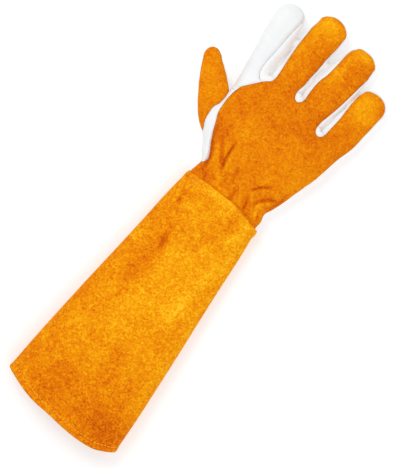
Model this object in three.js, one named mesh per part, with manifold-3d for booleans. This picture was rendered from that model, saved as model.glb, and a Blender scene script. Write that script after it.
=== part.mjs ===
// A rose pruning gauntlet: a leather glove for the right hand with a long flared cuff, lying palm down.
// Millimetres. +Y runs to the fingertips, +X to the little finger's side, +Z up from the surface it lies on.
import * as THREE from "three";
import { mergeVertices } from "three/addons/utils/BufferGeometryUtils.js";
import Module from "manifold-3d";

const wasm = await Module();
wasm.setup();

// Driving sizes: the hand
const HAND_LENGTH = 199.5; // wrist seam to the tip of the middle finger
const HAND_WIDTH = 127; // across the roots of the fingers
const HAND_DEPTH = 26; // palm to back, over the knuckles
const FINGER_DEPTH = 19; // palm side to back of a finger
const THUMB_LENGTH = 95;
const THUMB_WIDTH = 28;
const THUMB_DEPTH = 18;
const THUMB_LEAN = 33.5; // degrees between the thumb and the fingers

// Driving sizes: the cuff
const CUFF_LENGTH = 249; // wrist seam to the corners of the hem
const HEM_DROP = 13.5; // how far the middle of the hem hangs past its corners
const HEM_LEAN = 3.5; // how far the hem runs down towards the little finger's side
const MOUTH_WIDTH = 127;
const MOUTH_DEPTH = 30;
const WRIST_WIDTH = 85;
const WRIST_DEPTH = 24;
const WRIST_SLOPE = 7; // how far the wrist seam falls away on the little finger's side
const TUCK = 9; // length of the hand's end inside the cuff
const WAIST = 12; // from the wrist seam to the hand's narrowest place

// Driving sizes: leather, seams and folds
const LEATHER = 1.8;
const PATCH_THICKNESS = 1.5;
const BAND_THICKNESS = 1.2;
const BAND_WIDTH = 8;
const HEM_WIDTH = 8;
const SEAM_GAP = 0.3;
const FOLD_DEPTH = 2.2; // of the deepest gather at the wrist
const SIDE_SEAM_HEIGHT = 9; // above the surface, where back and palm leather meet at the sides
const THUMB_SEAM_HEIGHT = 6;
const STRIP_END = 6; // a side strip stops this far before its finger's round tip
const LOBE_INSET = 7.4; // of the patch's lobes, from the fingers' edges
const LOBE_NOTCH = 11.6; // how far below the crotch the notch between two lobes reaches
const LOBE_ROUND = 8; // length of a lobe's rounded end

// How a section is drawn: a rounded oblong whose underside is flat
const ROUNDNESS = 2.5;
const SECTION_CENTRE = 0.4; // height of the widest line, as a share of the section's depth
const HAND_SIDES = 32;
const CUFF_SIDES = 28;
const FINGER_SIDES = 12;
const THUMB_SIDES = 12;
const CAP_STEPS = [0, 0.5, 0.8, 0.97]; // rings of a rounded tip, as shares of its length
const FAR = 60; // how high a cutting outline reaches above the surface

const PATCH_LIFT = PATCH_THICKNESS + SEAM_GAP; // the palm leather lies this much above the surface
const BAND_LIFT = BAND_THICKNESS + SEAM_GAP;

// Sections of the hand from the wrist to the fingers. along: share of the hand's length.
// left, right: shares of the hand's width. top: share of the hand's depth.
const HAND_SECTIONS = [
  { along: 0.1, left: -0.315, right: 0.335, top: 0.84 },
  { along: 0.125, left: -0.346, right: 0.35, top: 0.87 },
  { along: 0.15, left: -0.37, right: 0.364, top: 0.9 },
  { along: 0.175, left: -0.394, right: 0.376, top: 0.92 },
  { along: 0.226, left: -0.441, right: 0.398, top: 0.96 },
  { along: 0.276, left: -0.469, right: 0.413, top: 0.98 },
  { along: 0.326, left: -0.475, right: 0.437, top: 1 },
  { along: 0.376, left: -0.457, right: 0.455, top: 1 },
  { along: 0.466, left: -0.449, right: 0.482, top: 0.96 },
  { along: 0.551, left: -0.466, right: 0.51, top: 0.92 },
  { along: 0.64, left: -0.488, right: 0.53, top: 0.84 },
];

// Where the hand ends between the fingers. across: share of the hand's width.
const WEB_LINE = [
  { across: -0.488, along: 0.551 },
  { across: -0.268, along: 0.596 },
  { across: -0.008, along: 0.617 },
  { across: 0.264, along: 0.526 },
  { across: 0.504, along: 0.491 },
];

// The edges of each finger from its root to where its round tip starts, as across and along shares.
// seam: how far the side strip reaches in from that edge, at the crotch and at the strip's end.
const FINGERS = {
  index: {
    tip: 0.935,
    tops: [1.18, 1.0, 0.86],
    left: [
      { across: -0.449, along: 0.461 },
      { across: -0.469, along: 0.551 },
      { across: -0.494, along: 0.652 },
      { across: -0.518, along: 0.752 },
      { across: -0.535, along: 0.86 },
    ],
    right: [
      { across: -0.263, along: 0.461 },
      { across: -0.263, along: 0.586 },
      { across: -0.275, along: 0.607 },
      { across: -0.277, along: 0.752 },
      { across: -0.308, along: 0.86 },
    ],
    rightSeam: { crotch: 0.087, end: 0.03 },
  },
  middle: {
    tip: 1,
    tops: [1.24, 1.02, 0.88],
    left: [
      { across: -0.277, along: 0.461 },
      { across: -0.277, along: 0.586 },
      { across: -0.268, along: 0.607 },
      { across: -0.268, along: 0.852 },
      { across: -0.26, along: 0.922 },
    ],
    right: [
      { across: 0, along: 0.461 },
      { across: 0, along: 0.607 },
      { across: -0.006, along: 0.627 },
      { across: -0.002, along: 0.842 },
      { across: -0.009, along: 0.922 },
    ],
    leftSeam: { crotch: 0.042, end: 0.022 },
    rightSeam: { crotch: 0.044, end: 0.022 },
  },
  ring: {
    tip: 0.958,
    tops: [1.2, 1.0, 0.86],
    left: [
      { across: -0.008, along: 0.461 },
      { across: -0.008, along: 0.607 },
      { across: 0.002, along: 0.627 },
      { across: 0.008, along: 0.752 },
      { across: 0.05, along: 0.884 },
    ],
    right: [
      { across: 0.272, along: 0.451 },
      { across: 0.272, along: 0.516 },
      { across: 0.266, along: 0.536 },
      { across: 0.287, along: 0.652 },
      { across: 0.315, along: 0.802 },
      { across: 0.307, along: 0.884 },
    ],
    leftSeam: { crotch: 0.036, end: 0.03 },
    rightSeam: { crotch: 0.046, end: 0.022 },
  },
  little: {
    tip: 0.829,
    tops: [1.06, 0.92, 0.8],
    left: [
      { across: 0.26, along: 0.451 },
      { across: 0.26, along: 0.516 },
      { across: 0.274, along: 0.536 },
      { across: 0.294, along: 0.652 },
      { across: 0.324, along: 0.762 },
    ],
    right: [
      { across: 0.475, along: 0.451 },
      { across: 0.514, along: 0.551 },
      { across: 0.538, along: 0.652 },
      { across: 0.553, along: 0.762 },
    ],
    leftSeam: { crotch: 0.046, end: 0.022 },
  },
};

// The crotch between each pair of neighbouring fingers, and how deep its strip dips below it.
const CROTCHES = [
  { name: "fourchette_index_middle", from: "index", to: "middle", along: 0.607, dip: 0.043 },
  { name: "fourchette_middle_ring", from: "middle", to: "ring", along: 0.627, dip: 0.046 },
  { name: "fourchette_ring_little", from: "ring", to: "little", along: 0.536, dip: 0.035 },
];
const FINGER_FALL = [0.68, 0.8]; // where the undersides of the fingers come down to the surface

// Sections of the thumb. along: share of its length. outer, inner: shares of its width on either side
// of its middle line. top: share of its depth.
const THUMB_SECTIONS = [
  { along: 0, outer: -0.05, inner: 0.43, top: 0.9 },
  { along: 0.18, outer: 0.23, inner: 0.54, top: 0.98 },
  { along: 0.3, outer: 0.36, inner: 0.61, top: 1 },
  { along: 0.42, outer: 0.385, inner: 0.62, top: 1 },
  { along: 0.55, outer: 0.4, inner: 0.59, top: 0.97 },
  { along: 0.66, outer: 0.39, inner: 0.49, top: 0.92 },
  { along: 0.8, outer: 0.34, inner: 0.34, top: 0.85 },
  { along: 0.88, outer: 0.3, inner: 0.25, top: 0.8 },
];
const THUMB_ROOT = { across: -0.331, along: 0.15 };
const THUMB_FALL = [0.58, 0.88]; // where its underside comes down to the surface

// The seam between the suede back and the smooth leather on the thumb's side, wrist to middle finger.
const RADIAL_SEAM = [
  { across: -0.296, along: 0.078 },
  { across: -0.271, along: 0.105 },
  { across: -0.299, along: 0.15 },
  { across: -0.343, along: 0.201 },
  { across: -0.378, along: 0.251 },
  { across: -0.407, along: 0.301 },
  { across: -0.422, along: 0.351 },
  { across: -0.424, along: 0.391 },
  { across: -0.409, along: 0.451 },
  { across: -0.374, along: 0.486 },
  { across: -0.331, along: 0.516 },
  { across: -0.283, along: 0.55 },
];

// The line where the thumb leaves the side of the hand, wrist to crotch.
const THUMB_LINE = [
  { across: -0.33, along: 0.07 },
  { across: -0.375, along: 0.13 },
  { across: -0.418, along: 0.18 },
  { across: -0.44, along: 0.215 },
  { across: -0.462, along: 0.24 },
  { across: -0.476, along: 0.276 },
  { across: -0.479, along: 0.321 },
  { across: -0.46, along: 0.36 },
  { across: -0.456, along: 0.391 },
  { across: -0.459, along: 0.421 },
];
// Clear of the hand, round the outside of the thumb and back to the wrist.
const THUMB_OUTSIDE = [
  { across: -0.49, along: 0.45 },
  { across: -0.62, along: 0.54 },
  { across: -0.9, along: 0.62 },
  { across: -0.9, along: 0.4 },
  { across: -0.48, along: 0.14 },
  { across: -0.35, along: 0.07 },
];
// The rounded seam of the thumb's base on the palm, from the thumb's crotch to the wrist.
const THUMB_BASE = [
  { across: -0.331, along: 0.351 },
  { across: -0.173, along: 0.311 },
  { across: -0.047, along: 0.261 },
  { across: 0.008, along: 0.201 },
  { across: -0.008, along: 0.135 },
  { across: -0.079, along: 0.075 },
  { across: -0.205, along: 0.045 },
];

// The round lobes of the palm patch at the finger roots.
const LOBES = [
  { finger: "index", reach: 0.66 },
  { finger: "middle", reach: 0.668 },
  { finger: "ring", reach: 0.64 },
  { finger: "little", reach: 0.595 },
];
// The patch's edge from the little finger's lobe round the heel of the hand and past the two slits.
const PATCH_EDGE = [
  { across: 0.43, along: 0.45 },
  { across: 0.425, along: 0.42 },
  { across: 0.38, along: 0.397 },
  { across: 0.25, along: 0.396 },
  { across: 0.04, along: 0.408 },
  { across: 0.25, along: 0.384 },
  { across: 0.37, along: 0.376 },
  { across: 0.405, along: 0.345 },
  { across: 0.385, along: 0.3 },
  { across: 0.31, along: 0.25 },
  { across: 0.19, along: 0.2 },
  { across: 0.13, along: 0.204 },
  { across: 0, along: 0.281 },
  { across: -0.16, along: 0.346 },
  { across: -0.33, along: 0.368 },
  { across: -0.365, along: 0.39 },
  { across: -0.26, along: 0.416 },
  { across: -0.37, along: 0.412 },
  { across: -0.4, along: 0.45 },
];

// Gathers above the wrist seam: from and to on the back of the hand, depth as a share of the deepest,
// and half width as a share of the hand's width. A negative depth is a ridge.
const GATHERS = [
  { from: [-0.21, 0.2], to: [-0.13, 0.11], depth: 1, width: 0.032 },
  { from: [-0.16, 0.2], to: [-0.1, 0.13], depth: -0.5, width: 0.032 },
  { from: [-0.32, 0.2], to: [-0.26, 0.06], depth: 0.6, width: 0.03 },
  { from: [0.21, 0.16], to: [0.13, 0.115], depth: 0.9, width: 0.034 },
  { from: [0.12, 0.11], to: [0.18, 0.03], depth: -0.45, width: 0.034 },
  { from: [0.31, 0.15], to: [0.22, 0.09], depth: 0.7, width: 0.034 },
  { from: [0.035, 0.07], to: [0.04, 0.015], depth: 0.6, width: 0.03 },
  { from: [-0.08, 0.09], to: [-0.05, 0.02], depth: 0.5, width: 0.03 },
];

// Lengthwise waves of the cuff, in the same columns. across is a share of the mouth's width,
// along a share of the cuff's length below the wrist.
const CUFF_WAVES = [
  { from: [0.21, -0.3], to: [0.24, -0.55], depth: -0.6, width: 0.06 },
  { from: [-0.16, -0.2], to: [-0.2, -0.5], depth: 0.6, width: 0.06 },
  { from: [0.08, -0.55], to: [0.1, -0.9], depth: 0.5, width: 0.07 },
];

// Stations of the cuff from the wrist to the hem. flare: how much of the widening is reached.
// lift: share of the wrist band's lift.
const CUFF_STATIONS = [
  { along: 0, flare: 0, lift: 1 },
  { along: 0.045, flare: 0.05, lift: 1 },
  { along: 0.09, flare: 0.12, lift: 0.4 },
  { along: 0.14, flare: 0.18, lift: 0 },
  { along: 0.25, flare: 0.28, lift: 0 },
  { along: 0.4, flare: 0.44, lift: 0 },
  { along: 0.55, flare: 0.61, lift: 0 },
  { along: 0.7, flare: 0.76, lift: 0 },
  { along: 0.85, flare: 0.9, lift: 0 },
  { along: 1, flare: 1, lift: 0 },
];

// Turns a row of shares into a point of the plan.
function place({ across, along }) {
  return [across * HAND_WIDTH, along * HAND_LENGTH];
}

// The value of one column at a given value of another, straight between rows.
function between(rows, key, at, column) {
  if (at <= rows[0][key]) return rows[0][column];
  for (let i = 1; i < rows.length; i += 1) {
    if (at <= rows[i][key]) {
      const share = (at - rows[i - 1][key]) / (rows[i][key] - rows[i - 1][key]);
      return THREE.MathUtils.lerp(rows[i - 1][column], rows[i][column], share);
    }
  }
  return rows[rows.length - 1][column];
}

function signedPower(value, exponent) {
  return Math.sign(value) * Math.abs(value) ** exponent;
}

// A closed three.js geometry as a solid that can be joined and cut.
function solidOf(geometry) {
  const bare = geometry.clone();
  bare.deleteAttribute("normal");
  bare.deleteAttribute("uv");
  const merged = mergeVertices(bare, 1e-4);
  const mesh = new wasm.Mesh({
    numProp: 3,
    vertProperties: new Float32Array(merged.attributes.position.array),
    triVerts: new Uint32Array(merged.index.array),
  });
  return new wasm.Manifold(mesh);
}

// One ring of a tube: a rounded oblong with a flat underside, drawn outwards by grow.
function ring(section, grow, sides) {
  const middle = (section.left + section.right) / 2;
  const half = (section.right - section.left) / 2 + grow;
  const centre = section.base + SECTION_CENTRE * (section.top - section.base);
  const rise = section.top - centre + grow;
  const points = [];
  for (let side = 0; side < sides; side += 1) {
    const angle = (2 * Math.PI * side) / sides;
    const x = middle + half * signedPower(Math.cos(angle), 2 / ROUNDNESS);
    const z = centre + rise * signedPower(Math.sin(angle), 2 / ROUNDNESS);
    points.push(new THREE.Vector3(x, section.y, Math.max(z, section.base - grow)));
  }
  return points;
}

// A closed body through rings that follow each other along +Y.
function loft(rings) {
  const sides = rings[0].length;
  const positions = [];
  const indices = [];
  for (const points of rings) {
    for (const point of points) positions.push(point.x, point.y, point.z);
  }
  for (let i = 0; i + 1 < rings.length; i += 1) {
    for (let side = 0; side < sides; side += 1) {
      const here = i * sides + side;
      const next = i * sides + ((side + 1) % sides);
      indices.push(here, here + sides, next, next, here + sides, next + sides);
    }
  }
  for (const end of [0, rings.length - 1]) {
    const centre = new THREE.Vector3();
    for (const point of rings[end]) centre.addScaledVector(point, 1 / sides);
    const hub = positions.length / 3;
    positions.push(centre.x, centre.y, centre.z);
    for (let side = 0; side < sides; side += 1) {
      const here = end * sides + side;
      const next = end * sides + ((side + 1) % sides);
      if (end === 0) indices.push(hub, here, next);
      else indices.push(hub, next, here);
    }
  }
  const geometry = new THREE.BufferGeometry();
  geometry.setAttribute("position", new THREE.Float32BufferAttribute(positions, 3));
  geometry.setIndex(indices);
  return geometry;
}

// Rings of a rounded tip beyond the last section, up to the tip's own length.
function tipRings(section, length, grow, sides) {
  const centre = section.base + SECTION_CENTRE * (section.top - section.base);
  const middle = (section.left + section.right) / 2;
  return CAP_STEPS.map((step) => {
    const shrink = Math.sqrt(1 - step * step);
    const shrunk = {
      y: section.y + step * (length + grow),
      left: middle + (section.left - middle) * shrink,
      right: middle + (section.right - middle) * shrink,
      base: centre + (section.base - centre) * shrink,
      top: centre + (section.top - centre) * shrink,
    };
    return ring(shrunk, grow * shrink, sides);
  });
}

// How far a fold table presses the leather down at a point of the plan.
function foldAt(folds, x, y, width, length) {
  let total = 0;
  for (const fold of folds) {
    const start = new THREE.Vector2(fold.from[0] * width, fold.from[1] * length);
    const run = new THREE.Vector2(fold.to[0] * width, fold.to[1] * length).sub(start);
    const offset = new THREE.Vector2(x, y).sub(start);
    const share = THREE.MathUtils.clamp(offset.dot(run) / run.lengthSq(), 0, 1);
    const distance = offset.addScaledVector(run, -share).length() / (fold.width * width);
    total += fold.depth * FOLD_DEPTH * Math.exp(-distance * distance);
  }
  return total;
}

// Lowers the upper half of the rings along the folds.
function folded(rings, folds, width, length) {
  for (const points of rings) {
    const highest = Math.max(...points.map((point) => point.z));
    const lowest = Math.min(...points.map((point) => point.z));
    for (const point of points) {
      const share = THREE.MathUtils.smoothstep(point.z, (highest + lowest) / 2, highest);
      point.z -= share * foldAt(folds, point.x, point.y, width, length);
    }
  }
  return rings;
}

// The cuff

// How far the wrist seam falls at a place across it.
function wristFall(x) {
  return WRIST_SLOPE * THREE.MathUtils.smoothstep((2 * x) / WRIST_WIDTH, 0.1, 1.1);
}

// How far a point of the hem lies below the hem's thumb-side corner line.
function hemFall(x) {
  const across = THREE.MathUtils.clamp((2 * x) / MOUTH_WIDTH, -1, 1);
  return HEM_LEAN * across + HEM_DROP * (1 - Math.abs(across) ** 2.4);
}

// The cuff's outer section at a share of its length.
function cuffSection(along) {
  const flare = between(CUFF_STATIONS, "along", along, "flare");
  const half = THREE.MathUtils.lerp(WRIST_WIDTH, MOUTH_WIDTH, flare) / 2;
  const base = between(CUFF_STATIONS, "along", along, "lift") * BAND_LIFT;
  return {
    left: -half,
    right: half,
    base,
    top: base + THREE.MathUtils.lerp(WRIST_DEPTH - BAND_LIFT, MOUTH_DEPTH, flare),
  };
}

// Rings of the cuff's surface from hem to wrist, for stations with their own inset.
function cuffRings(stations) {
  const rings = stations.map(({ along, grow }) => {
    const points = ring({ ...cuffSection(along), y: 0 }, grow, CUFF_SIDES);
    for (const point of points) {
      const top = BAND_WIDTH / 3 - wristFall(point.x);
      const bottom = BAND_WIDTH / 3 - CUFF_LENGTH - hemFall(point.x);
      point.y = THREE.MathUtils.lerp(top, bottom, along);
    }
    return points;
  });
  return folded(rings.reverse(), CUFF_WAVES, MOUTH_WIDTH, CUFF_LENGTH);
}

function makeCuff() {
  const past = TUCK / CUFF_LENGTH;
  const hemStart = 1 - HEM_WIDTH / CUFF_LENGTH;
  const stations = CUFF_STATIONS.map(({ along }) => along);
  const plain = [-past, ...stations.slice(1, -1), hemStart];
  const outside = stations.map((along) => ({ along, grow: 0 }));
  const inside = [
    ...plain.map((along) => ({ along, grow: -LEATHER })),
    { along: hemStart + LEATHER / CUFF_LENGTH, grow: -2 * LEATHER },
    { along: 1 + past, grow: -2 * LEATHER },
  ];
  return solidOf(loft(cuffRings(outside))).subtract(solidOf(loft(cuffRings(inside))));
}

function makeWristBand() {
  const width = BAND_WIDTH / CUFF_LENGTH;
  const ends = [0, width];
  const beyond = [-width / 4, width * 1.25];
  const outside = ends.map((along) => ({ along, grow: BAND_LIFT }));
  const inside = beyond.map((along) => ({ along, grow: SEAM_GAP }));
  return solidOf(loft(cuffRings(outside))).subtract(solidOf(loft(cuffRings(inside))));
}

// The hand

// The height of the leather's underside above the surface: clear of the patch, down at the fingertips.
function handBase(along) {
  return PATCH_LIFT * (1 - THREE.MathUtils.smoothstep(along, ...FINGER_FALL));
}

// The hand's end inside the cuff keeps clear of the cuff's inner face, which is narrowest at the seam.
function tuckedSection(y) {
  const cuff = cuffSection(0);
  const inset = LEATHER + SEAM_GAP;
  return {
    y,
    left: cuff.left + inset,
    right: cuff.right - inset,
    base: cuff.base + inset,
    top: cuff.top - inset,
  };
}

// Sections of the hand from its tucked end, past the waist just above the wrist seam, to the fingers.
function handSections() {
  const tucked = [-TUCK, -TUCK / 2, 0, TUCK / 2].map(tuckedSection);
  const seam = tucked[tucked.length - 1];
  const waist = {
    y: WAIST,
    left: seam.left + LEATHER,
    right: seam.right - LEATHER,
    base: PATCH_LIFT + LEATHER / 2,
    top: seam.top,
  };
  const hand = HAND_SECTIONS.map(({ along, left, right, top }) => ({
    y: along * HAND_LENGTH,
    left: left * HAND_WIDTH,
    right: right * HAND_WIDTH,
    base: PATCH_LIFT,
    top: top * HAND_DEPTH,
  }));
  return [...tucked, waist, ...hand];
}

// The hand without its fingers. An inset one starts lower, so that it leaves the tucked end open.
function palmBody(grow) {
  const sections = handSections();
  if (grow < 0) sections[0].y -= TUCK;
  const rings = sections.map((section) => ring(section, grow, HAND_SIDES));
  const body = solidOf(loft(folded(rings, GATHERS, HAND_WIDTH, HAND_LENGTH)));
  const beyond = [{ across: 1, along: 0.4 }, { across: 1, along: 1 }, { across: -1, along: 1 }];
  const fingerSide = [...WEB_LINE, ...beyond].map(place);
  return body.subtract(block(fingerSide, -FAR, FAR, -grow));
}

// A finger's edge at a share of the hand's length.
function edgeAt(finger, side, along) {
  return between(FINGERS[finger][side], "along", along, "across") * HAND_WIDTH;
}

function tipStart(finger) {
  const { left } = FINGERS[finger];
  return left[left.length - 1].along;
}

function fingerSection(finger, along) {
  const { left, tops } = FINGERS[finger];
  const share = (along - left[0].along) / (tipStart(finger) - left[0].along);
  const heights = tops.map((top, i) => ({ at: i / (tops.length - 1), top }));
  return {
    y: along * HAND_LENGTH,
    left: edgeAt(finger, "left", along),
    right: edgeAt(finger, "right", along),
    base: handBase(along),
    top: between(heights, "at", share, "top") * FINGER_DEPTH,
  };
}

function fingerBody(finger, grow) {
  const { left, right, tip } = FINGERS[finger];
  const stations = new Set([...left.map(({ along }) => along), ...FINGER_FALL]);
  for (const { along } of right) stations.add(along);
  const rings = [...stations]
    .filter((along) => along < tipStart(finger))
    .sort((a, b) => a - b)
    .map((along) => ring(fingerSection(finger, along), grow, FINGER_SIDES));
  const last = fingerSection(finger, tipStart(finger));
  const length = tip * HAND_LENGTH - last.y;
  return solidOf(loft([...rings, ...tipRings(last, length, grow, FINGER_SIDES)]));
}

function thumbBody(grow) {
  const sections = THUMB_SECTIONS.map(({ along, outer, inner, top }) => ({
    y: along * THUMB_LENGTH,
    left: -outer * THUMB_WIDTH,
    right: inner * THUMB_WIDTH,
    base: PATCH_LIFT * (1 - THREE.MathUtils.smoothstep(along, ...THUMB_FALL)),
    top: top * THUMB_DEPTH,
  }));
  const last = sections.pop();
  const rings = sections.map((section) => ring(section, grow, THUMB_SIDES));
  const geometry = loft([...rings, ...tipRings(last, THUMB_LENGTH - last.y, grow, THUMB_SIDES)]);
  const [x, y] = place(THUMB_ROOT);
  geometry.rotateZ(THREE.MathUtils.degToRad(THUMB_LEAN));
  geometry.translate(x, y, 0);
  return solidOf(geometry);
}

// The palm and the fingers in one body, drawn outwards by grow.
function palmAndFingers(grow) {
  let body = palmBody(grow);
  for (const finger of Object.keys(FINGERS)) body = body.add(fingerBody(finger, grow));
  return body;
}

function handBody(grow) {
  return palmAndFingers(grow).add(thumbBody(grow));
}

// Outlines of the panels, seen from above

// An upright cutting block on an outline, drawn outwards by grow on every side.
function block(outline, low, high, grow = 0) {
  const points = outline.map(([x, y]) => new THREE.Vector2(x, y));
  if (THREE.ShapeUtils.isClockWise(points)) points.reverse();
  const count = points.length;
  const offset = points.map((point, i) => {
    const before = points[(i + count - 1) % count];
    const after = points[(i + 1) % count];
    const normal = new THREE.Vector2(after.y - before.y, before.x - after.x).normalize();
    return point.clone().addScaledVector(normal, grow);
  });
  const geometry = new THREE.ExtrudeGeometry(new THREE.Shape(offset), {
    depth: high - low + 2 * grow,
    bevelEnabled: false,
  });
  geometry.translate(0, 0, low - grow);
  return solidOf(geometry);
}

// Points of a half ellipse from start to end that bulges by reach along +Y.
function bow(start, end, reach, steps) {
  const points = [];
  for (let i = 1; i < steps; i += 1) {
    const angle = (Math.PI * i) / steps;
    const share = (1 - Math.cos(angle)) / 2;
    const x = THREE.MathUtils.lerp(start[0], end[0], share);
    const y = THREE.MathUtils.lerp(start[1], end[1], share) + reach * Math.sin(angle);
    points.push([x, y]);
  }
  return points;
}

// The share of the hand's length at which a finger's side strips stop.
function stripEnd(finger) {
  return tipStart(finger) - STRIP_END / HAND_LENGTH;
}

// The seam of a side strip along one edge of a finger, from the crotch to the strip's end.
function stripSeam(finger, side, crotch) {
  const seam = FINGERS[finger][side + "Seam"];
  const inwards = side === "left" ? 1 : -1;
  const steps = [0, 0.33, 0.67, 1];
  return steps.map((step) => {
    const along = THREE.MathUtils.lerp(crotch, stripEnd(finger), step);
    const inset = THREE.MathUtils.lerp(seam.crotch, seam.end, step) * HAND_WIDTH;
    return [edgeAt(finger, side, along) + inwards * inset, along * HAND_LENGTH];
  });
}

// Round a fingertip just outside the finger, from the left strip's end to the right one's.
function aroundTip(finger) {
  const start = tipStart(finger);
  const left = [edgeAt(finger, "left", start) - SEAM_GAP, start * HAND_LENGTH];
  const right = [edgeAt(finger, "right", start) + SEAM_GAP, start * HAND_LENGTH];
  const end = stripEnd(finger);
  const outLeft = [edgeAt(finger, "left", end) - SEAM_GAP, end * HAND_LENGTH];
  const outRight = [edgeAt(finger, "right", end) + SEAM_GAP, end * HAND_LENGTH];
  const reach = FINGERS[finger].tip * HAND_LENGTH - left[1] + LEATHER;
  return [outLeft, left, ...bow(left, right, 1.15 * reach, 8), right, outRight];
}

// The dip of a side strip below a crotch, from one finger's seam to the next one's.
function dip(crotch) {
  const start = stripSeam(crotch.from, "right", crotch.along)[0];
  const end = stripSeam(crotch.to, "left", crotch.along)[0];
  return bow(start, end, -crotch.dip * HAND_LENGTH, 6);
}

// Clear of the wrist on one side of it, below the hand's tucked end or level with the waist.
function besideWrist(side, y) {
  return [side * (WRIST_WIDTH / 2 + 3 * LEATHER), y];
}

function backOutline() {
  const [first, second, third] = CROTCHES;
  return [
    besideWrist(-1, -2 * TUCK),
    besideWrist(-1, WAIST),
    ...RADIAL_SEAM.map(place),
    ...stripSeam("middle", "left", first.along),
    ...aroundTip("middle"),
    ...stripSeam("middle", "right", second.along).reverse(),
    ...dip(second),
    ...stripSeam("ring", "left", second.along),
    ...aroundTip("ring"),
    ...stripSeam("ring", "right", third.along).reverse(),
    ...dip(third),
    ...stripSeam("little", "left", third.along),
    ...aroundTip("little").slice(0, -1),
    place({ across: 0.62, along: 0.74 }),
    place({ across: 0.42, along: 0.1 }),
    besideWrist(1, -2 * TUCK),
  ];
}

function indexOutline() {
  return [
    place({ across: -0.33, along: 0.44 }),
    place({ across: -0.25, along: 0.55 }),
    place({ across: -0.273, along: 0.65 }),
    ...aroundTip("index").slice(1).reverse(),
    place({ across: -0.62, along: 0.86 }),
    place({ across: -0.62, along: 0.6 }),
    place({ across: -0.47, along: 0.44 }),
  ];
}

function forkOutline(crotch) {
  const from = stripSeam(crotch.from, "right", crotch.along);
  const to = stripSeam(crotch.to, "left", crotch.along);
  const fromEnd = stripEnd(crotch.from);
  const toEnd = stripEnd(crotch.to);
  const outsides = [
    [edgeAt(crotch.to, "left", toEnd) - SEAM_GAP, toEnd * HAND_LENGTH],
    [edgeAt(crotch.from, "right", fromEnd) + SEAM_GAP, fromEnd * HAND_LENGTH],
  ];
  return [...from.reverse(), ...dip(crotch), ...to, ...outsides];
}

function thumbOutline() {
  return [...THUMB_LINE, ...THUMB_OUTSIDE].map(place);
}

function thumbBaseOutline() {
  const line = [...THUMB_OUTSIDE].reverse();
  return [...line, THUMB_LINE[THUMB_LINE.length - 1], ...THUMB_BASE].map(place);
}

function patchOutline() {
  const outline = [];
  LOBES.forEach(({ finger, reach }, i) => {
    const shoulder = reach * HAND_LENGTH - LOBE_ROUND;
    const left = [edgeAt(finger, "left", reach) + LOBE_INSET, shoulder];
    const right = [edgeAt(finger, "right", reach) - LOBE_INSET, shoulder];
    outline.push(left, ...bow(left, right, LOBE_ROUND, 6), right);
    if (i < CROTCHES.length) {
      const next = LOBES[i + 1];
      const bottom = CROTCHES[i].along * HAND_LENGTH - LOBE_NOTCH + LOBE_ROUND / 2;
      const start = [right[0], bottom];
      const end = [edgeAt(next.finger, "left", next.reach) + LOBE_INSET, bottom];
      outline.push(start, ...bow(start, end, -LOBE_ROUND / 2, 4), end);
    }
  });
  return [...outline, ...PATCH_EDGE.map(place)];
}

// The pieces of the hand, cut from one shell, each clear of the ones before it

const cuts = { back: [backOutline(), SIDE_SEAM_HEIGHT, FAR] };
for (const crotch of CROTCHES) cuts[crotch.name] = [forkOutline(crotch), -FAR, FAR];
cuts.thumbBack = [thumbOutline(), THUMB_SEAM_HEIGHT, FAR];
cuts.index = [indexOutline(), SIDE_SEAM_HEIGHT, FAR];
cuts.thumbFront = [thumbBaseOutline(), -FAR, THUMB_SEAM_HEIGHT - SEAM_GAP];

function makeHandPieces() {
  const shell = handBody(0).subtract(handBody(-LEATHER));
  const pieces = {};
  let rest = shell;
  for (const name of Object.keys(cuts)) {
    pieces[name] = rest.intersect(block(...cuts[name]));
    rest = rest.subtract(block(...cuts[name], SEAM_GAP));
  }
  pieces.palm = rest;
  return pieces;
}

function makePatch() {
  const layer = palmAndFingers(PATCH_LIFT).subtract(handBody(SEAM_GAP));
  return layer.intersect(block(patchOutline(), -FAR, SIDE_SEAM_HEIGHT));
}

// Materials

const SUEDE = new THREE.MeshStandardMaterial({ color: 0xe8940c, roughness: 0.95, metalness: 0 });
const CUFF_SUEDE = new THREE.MeshStandardMaterial({ color: 0xe08a0a, roughness: 0.95, metalness: 0 });
const GRAIN = new THREE.MeshStandardMaterial({ color: 0xefeeea, roughness: 0.55, metalness: 0 });
const STRIP = new THREE.MeshStandardMaterial({ color: 0xe6e5e2, roughness: 0.55, metalness: 0 });

// A solid as a named mesh.
function meshOf(name, solid, material) {
  const made = solid.getMesh();
  const geometry = new THREE.BufferGeometry();
  geometry.setAttribute("position", new THREE.BufferAttribute(made.vertProperties, 3));
  geometry.setIndex(new THREE.BufferAttribute(made.triVerts, 1));
  geometry.computeVertexNormals();
  const mesh = new THREE.Mesh(geometry, material);
  mesh.name = name;
  return mesh;
}

const hand = makeHandPieces();
const gauntlet = new THREE.Group();
gauntlet.name = "rose_pruning_gauntlet";
gauntlet.add(meshOf("gauntlet_cuff", makeCuff(), CUFF_SUEDE));
gauntlet.add(meshOf("wrist_band", makeWristBand(), SUEDE));
gauntlet.add(meshOf("back_panel", hand.back, SUEDE));
gauntlet.add(meshOf("index_back", hand.index, GRAIN));
gauntlet.add(meshOf("palm_panel", hand.palm, GRAIN));
gauntlet.add(meshOf("thumb_front", hand.thumbFront, GRAIN));
gauntlet.add(meshOf("thumb_back", hand.thumbBack, SUEDE));
gauntlet.add(meshOf("palm_patch", makePatch(), SUEDE));
for (const { name } of CROTCHES) gauntlet.add(meshOf(name, hand[name], STRIP));

// The origin lies under the middle of the whole gauntlet.
const box = new THREE.Box3().setFromObject(gauntlet);
const centre = box.getCenter(new THREE.Vector3());
gauntlet.position.set(-centre.x, -centre.y, -box.min.z);

export default gauntlet;
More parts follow.
